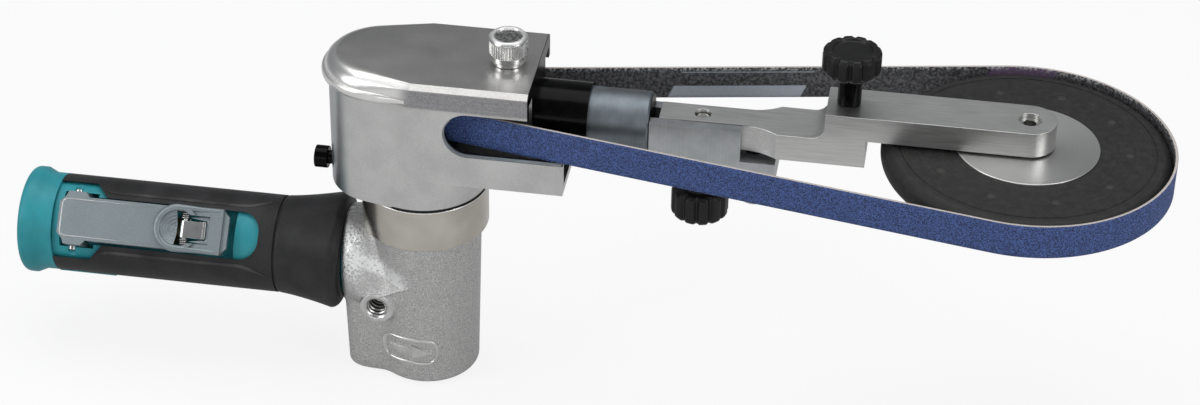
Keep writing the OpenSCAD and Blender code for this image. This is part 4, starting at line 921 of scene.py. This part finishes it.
def makeLeverRim():
    v = lever
    turn = np.linspace(np.pi / 2, 1.5 * np.pi, 40)
    arc = arcAt(v["cup"], 0, v["rim"], turn)
    run = np.linspace(v["end"], v["cup"], 14)[:-1]
    side = np.full_like(run, v["rim"])
    line = np.vstack([np.stack([run, side], 1), arc, np.stack([run[::-1], -side], 1)])
    back = ease(-line[:, 0], -v["end"], -v["cup"] + 3)
    flat = bead(line, closed(len(line), 1.0) * between(v["wide"], back), between(v["rise"], back))
    flat[..., 2] += between(v["high"], back)[:, None]
    addGrid("leverRim", place(flat, onLever), "lever_steel", "lever", angle=60)


# The dish falls from the rim to a flat by the latch, with fine rings round the cup's middle.
def makeLeverDish():
    v = lever
    y = np.linspace(-v["dishHalf"], v["dishHalf"], 61)[None, :]
    left = v["cup"] - np.sqrt(v["dish"] ** 2 - y ** 2)
    t = np.linspace(0, 1, 50)[:, None]
    x = left * (1 - t) + v["dishEnd"] * t
    away = np.hypot(x - v["dishEnd"], y) / (v["dish"] + 0.4)
    z = v["dishTop"] - v["dishDeep"] * (1 - ease(away, 0.1, 1.0)) + v["ridge"] * np.sin(away * v["ridges"])
    flat = np.stack([x, y + 0 * x, z], -1)
    piece = addGrid("leverDish", place(flat, onLever), "lever_steel", "lever", closeV=False, angle=60)
    wall = piece.modifiers.new("wall", "SOLIDIFY")
    wall.thickness = v["sheet"] * mm
    wall.offset = 0.0


makeLeverRim()
makeLeverDish()

# Beads on the lever: a plate that closes the opening on three sides of the latch, a line along the edges
# painted pale as a highlight
leverBeads = {
    "leverFloor": {"line": ((-85.8, 4.4), (-78.6, 4.4), (-78.6, -4.4), (-85.8, -4.4)), "corner": (0.8, 6),
                   "half": 0.95, "rise": 0.25, "z": 20.3, "material": None},
    "leverLine": {"line": ((-99.5, 6.9), (-134.6, 6.9), (-134.6, -6.9), (-99.5, -6.9)), "corner": (2.2, 8),
                  "half": 0.3, "rise": 0.16, "z": 20.7, "material": "leverHighlight"},
}
for name, b in leverBeads.items():
    line = rounded(b["line"], *b["corner"])
    flat = bead(line, closed(len(line), b["half"]), b["rise"])
    flat[..., 2] += b["z"]
    addGrid(name, place(flat, onLever), "lever_steel", "lever", material=b["material"], angle=60)

# Housing trims: a ring of painted shade above the collar's edge bead, which carries a painted highlight, a
# rim bead with a painted highlight round the back, and in the near slot a lip painted pale and bluish as a
# reflection, with a strip of painted shade behind it
collarShadeAndHighlight = {"radius": (22.4, 23.35), "z": (79.88, 80.8), "edge": (22.95, 79.5, 0.4)}
rim = {"back": -14.0, "radius": 21.3, "tangent": 97.1, "side": (-2.0, 22.95), "z": 126.1, "out": 1.1,
       "tall": 1.9, "fade": 11.0}
slotEdge = {"x": 20.3, "z": 114.45, "radius": 8.62, "end": 54.0, "lining": (-21.6, -20.4),
            "lip": (-23.15, -21.6), "thick": 0.2}


def makeHousingTrims():
    # Painted shade: a black ring in the gap above the collar
    ring = sleeve(collarShadeAndHighlight["radius"], collarShadeAndHighlight["z"], 128)
    addGrid("neckGapShade", ring, "black_plastic", "head", material="shade", closeU=True)
    # Painted highlight: a thin bright bead on the collar's top edge
    radius, z, thick = collarShadeAndHighlight["edge"]
    ring = lathe(arcAt(radius, z, thick, circle(12)), 160)
    addGrid("collarHighlight", ring, "nickel", "motor", material="paintedHighlight", closeU=True, angle=60)
    # The rim's line: straight along the near side, round the back, straight along the far side
    turn = np.radians(np.linspace(360 - rim["tangent"], rim["tangent"], 70))
    arc = arcAt(rim["back"], 0, rim["radius"], turn)
    t = np.linspace(0, 1, 16)[:-1, None]
    near = np.array([rim["side"][0], -rim["side"][1]]) * (1 - t) + arc[:1] * t
    line = np.vstack([near, arc, (near * [1, -1])[::-1]])
    outward = rightOf(np.gradient(line, axis=0))
    outward *= np.sign((outward * (line - [rim["back"], 0])).sum(1))[:, None]
    steps = np.arange(len(line))
    full = ease(np.minimum(steps, steps[::-1]) / rim["fade"], 0, 1)
    section = circle(20)
    spread = (np.cos(section) * rim["out"])[None, :] * full[:, None]
    flat = line[:, None] + outward[:, None] * spread[..., None]
    tall = rim["z"] + np.sin(section)[None, :, None] * rim["tall"] * (0.35 + 0.65 * full)[:, None, None]
    # The rim bead carries a painted highlight
    addGrid("roofRim", np.concatenate([flat, tall], -1), "polished_aluminium", "head", material="paintedHighlight",
            angle=60)
    # The slot's lip and its strip of painted shade follow its round end and its lower edge.
    turn = np.linspace(np.pi * 0.75, np.pi * 1.5, 30)
    x, z, radius = slotEdge["x"], slotEdge["z"], slotEdge["radius"]
    path = np.vstack([arcAt(x, z, radius, turn), [(slotEdge["end"], z - radius)]])
    inward = (path - [x, z]) * -slotEdge["thick"] / radius
    inward[-1] = (0, slotEdge["thick"])
    corners = np.array([(0, 0), (0, 1), (1, 1), (1, 0)])
    flat = path[:, None] + inward[:, None] * corners[None, :, :1]
    for name, sides, slot, material in (("slotShade", "lining", "black_plastic", "shade"),
                                        ("slotLip", "lip", "polished_aluminium", "slotLip")):
        y = np.broadcast_to(np.array(slotEdge[sides])[corners[:, 1]][None, :], flat.shape[:2])
        points = np.stack([flat[..., 0], y, flat[..., 1]], -1)
        points = np.concatenate([np.repeat(points[:1, :1], 4, 1), points, np.repeat(points[-1:, :1], 4, 1)])
        addGrid(name, points, slot, "head", material=material)


makeHousingTrims()
print("lever and housing trims made")

# Springs
# Each is a wire along a helix: an angle that grows with the height.
springs = {
    "tension_spring": {"radius": 6.35, "wire": 0.8, "length": 33.4, "turns": 7, "foot": 18.85,
                       "frame": Matrix.Translation((0, 0, beltZ)) @ Matrix.Rotation(math.pi / 2, 4, "Y"),
                       "bend": ("head", "slide")},
    "tracking_spring": {"radius": 3.4, "wire": 0.45, "length": 8.0, "turns": 4, "foot": 99.9,
                        "frame": Matrix.Translation((screwX, 0, 0)), "bend": ("slide", "arm")},
    "valve_spring": {"radius": 3.1, "wire": 0.4, "length": 8.2, "turns": 4, "foot": -8.5,
                     "frame": onLever @ Matrix.Translation((-95.2, 0, 0)), "bend": ("motor", "valve")},
}


def makeSpring(name, s):
    turn = np.linspace(0, s["turns"], s["turns"] * 28 + 1)
    angle = turn * 2 * np.pi
    path = np.stack([s["radius"] * np.cos(angle), s["radius"] * np.sin(angle),
                     s["foot"] + s["length"] * turn / s["turns"]], 1)
    mesh = gridMesh(name, place(wire(path, s["wire"]), s["frame"]))
    ends = place(path[[0, -1]] * [0, 0, 1], s["frame"]) * mm
    return mesh, ends


for node, s in springs.items():
    name = node.split("_")[0] + "SpringCoil"
    mesh, ends = makeSpring(name, s)
    piece = mount(mesh, name, "spring_steel", None, (node,))
    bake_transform(piece)

latchSpring = {"radius": 1.8, "wire": 0.32, "length": 2.3, "turns": 3, "foot": 3.7, "pin": (-88.2, 0, 18.0)}
for side, name in ((1, "latchSpringLeft"), (-1, "latchSpringRight")):
    turned = Matrix.Translation(latchSpring["pin"]) @ Matrix.Rotation(-side * math.pi / 2, 4, "X")
    mesh, _ = makeSpring(name, {**latchSpring, "frame": onLever @ turned})
    mount(mesh, name, "spring_steel", "lever", ("latch_spring",))
print("springs made")

# Abrasive belt
# Its middle line is two arcs and two straight runs; the section is a thin strip with rounded edges.
belt = {"start": 11.35, "end": 51.05, "span": wheelX, "z": beltZ, "width": 12.7, "thick": 1.0, "corner": 0.12,
        "steps": 900, "across": 10}


def makeBelt():
    b = belt
    half = b["thick"] / 2
    small, large = b["start"] + half, b["end"] + half
    lean = math.asin((large - small) / b["span"])
    run = b["span"] * math.cos(lean)
    lengths = [small * (math.pi - 2 * lean), run, large * (math.pi + 2 * lean), run]
    s = np.linspace(0, sum(lengths), b["steps"], endpoint=False)
    marks = np.cumsum([0] + lengths)
    leg = np.searchsorted(marks, s, "right") - 1
    t = s - marks[leg]
    # Angle of the outward normal along each leg
    nearTurn, farTurn = 1.5 * math.pi - lean, math.pi / 2 + lean
    turn = np.select([leg == 0, leg == 1, leg == 2],
                     [farTurn + t / small, nearTurn, t / large - farTurn], farTurn)
    normal = np.stack([np.cos(turn), np.sin(turn)], 1)
    ahead = np.stack([-normal[:, 1], normal[:, 0]], 1)
    # The odd legs are the straight runs, the last two start from the contact wheel.
    middle = np.where(leg > 1, large, small)[:, None] * normal + np.where(leg % 2, t, 0)[:, None] * ahead
    middle[:, 0] += b["span"] * (leg > 1)
    w, h, c, n = b["width"] / 2, half, b["corner"], b["across"]
    up = np.linspace(-w + c, w - c, n)
    section = np.concatenate([np.stack([np.full(n, h), up], 1), [[h - c, w], [c - h, w]],
                              np.stack([np.full(n, -h), up[::-1]], 1), [[c - h, -w], [h - c, -w]]])
    side = np.r_[np.ones(n), 0.6, 0.4, np.zeros(n), 0.4, 0.6]
    flat = middle[:, None] + normal[:, None] * section[None, :, :1]
    height = np.broadcast_to(section[None, :, 1:] + b["z"], (len(s), len(section), 1))
    points = np.concatenate([flat, height], -1)
    uv = np.stack(np.broadcast_arrays(s[:, None] * mm, section[None, :, 1] * mm), -1)
    mesh = gridMesh("abrasiveBand", points, closeU=True, uv=uv, angle=50)
    attribute = mesh.attributes.new("side", "FLOAT", "POINT")
    attribute.data.foreach_set("value", np.tile(side, len(s)).astype(np.float32))
    piece = mount(mesh, "abrasiveBand", "abrasive_cloth", None, ("abrasive_belt",))
    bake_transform(piece)
    sum(lengths) * mm
    return sum(lengths)


beltLength = makeBelt()
print("belt made, length", round(beltLength, 1), "mm")

# Stage: pale floor, soft lights and the photograph's camera
stage = {"floor": 4.0, "drop": 0.001, "white": 0.84, "shine": 0.25, "tone": (0.5, 0.95), "rough": 0.9,
         "sky": 0.26, "skyTint": (0.80, 0.82, 0.85, 1), "clip": (0.01, 20),
         "camera": (0.19690, -0.89309, 0.68450), "lens": 90.0, "sensor": 36.0,
         "right": (0.98770757, 0.15570685, 0.01375261), "up": (-0.09825303, 0.55000382, 0.82936249),
         "back": (0.12157344, -0.82051884, 0.55854161)}


def makeFloor():
    edge, z = stage["floor"] / 2, -stage["drop"]
    mesh = bpy.data.meshes.new("floor")
    corners = [(-edge, -edge, z), (edge, -edge, z), (edge, edge, z), (-edge, edge, z)]
    mesh.from_pydata(corners, [], [(0, 1, 2, 3)])
    floor = newObject("floor", mesh)
    made = bpy.data.materials.new("floor")
    made.use_nodes = True
    tree = made.node_tree
    shader = tree.nodes["Principled BSDF"]
    shader.inputs["Roughness"].default_value = stage["rough"]
    light = tree.nodes.new("ShaderNodeLightPath")
    camera, glossy, through = (Wire(tree, light.outputs[way]) for way in (
        "Is Camera Ray", "Is Glossy Ray", "Is Transmission Ray"))
    seen = (camera * stage["white"]).apply("MAXIMUM", glossy.apply("MAXIMUM", through) * stage["shine"])
    dim, bright = stage["tone"]
    tree.links.new(camera.mix(grey(dim), grey(bright)).socket, shader.inputs["Base Color"])
    white = seen.node("ShaderNodeEmission", {}, {"Color": (1, 1, 1, 1), "Strength": 1.0})
    both = seen.node("ShaderNodeMixShader", {}, {0: seen, 1: Wire(tree, shader.outputs[0]), 2: white})
    tree.links.new(both.socket, tree.nodes["Material Output"].inputs["Surface"])
    mesh.materials.append(made)


# A matrix from three axes and a place
def standing(x, y, z, spot):
    return Matrix([*zip(x, y, z, spot), (0, 0, 0, 1)])


def makeLight(name, spot, aim, size, power):
    data = bpy.data.lights.new(name, "AREA")
    data.shape = "RECTANGLE"
    data.size, data.size_y = size
    data.energy = power
    back = np.array(spot) - np.array(aim)
    z = back / np.linalg.norm(back)
    x = np.cross([0, 0, 1], z)
    x /= np.linalg.norm(x)
    newObject(name, data).matrix_world = standing(x, np.cross(z, x), z, spot)


def makeStage():
    makeFloor()
    lights = {
        "topSoftbox": ((0.05, 0.15, 1.1), (0.05, 0, 0.08), (1.3, 0.8), 6.5),
        "leftSoftbox": ((-0.9, -0.6, 0.7), (0, 0, 0.08), (0.5, 0.9), 5.0),
        "rightSoftbox": ((1.0, -0.5, 0.6), (0.08, 0, 0.1), (0.4, 0.8), 3.5),
        "frontFill": ((0.1, -1.3, 0.35), (0.05, 0, 0.08), (1.2, 0.4), 2.4),
    }
    for name, settings in lights.items():
        makeLight(name, *settings)
    world = bpy.data.worlds.new("studio")
    bpy.context.scene.world = world
    world.use_nodes = True
    sky = world.node_tree.nodes["Background"]
    sky.inputs["Color"].default_value = stage["skyTint"]
    sky.inputs["Strength"].default_value = stage["sky"]
    data = bpy.data.cameras.new("camera")
    data.lens, data.sensor_width = stage["lens"], stage["sensor"]
    data.clip_start, data.clip_end = stage["clip"]
    camera = newObject("camera", data)
    camera.matrix_world = standing(stage["right"], stage["up"], stage["back"], stage["camera"])
    bpy.context.scene.camera = camera
    bpy.context.scene.view_settings.view_transform = "Standard"


makeStage()
bpy.context.view_layer.update()
print("stage made")
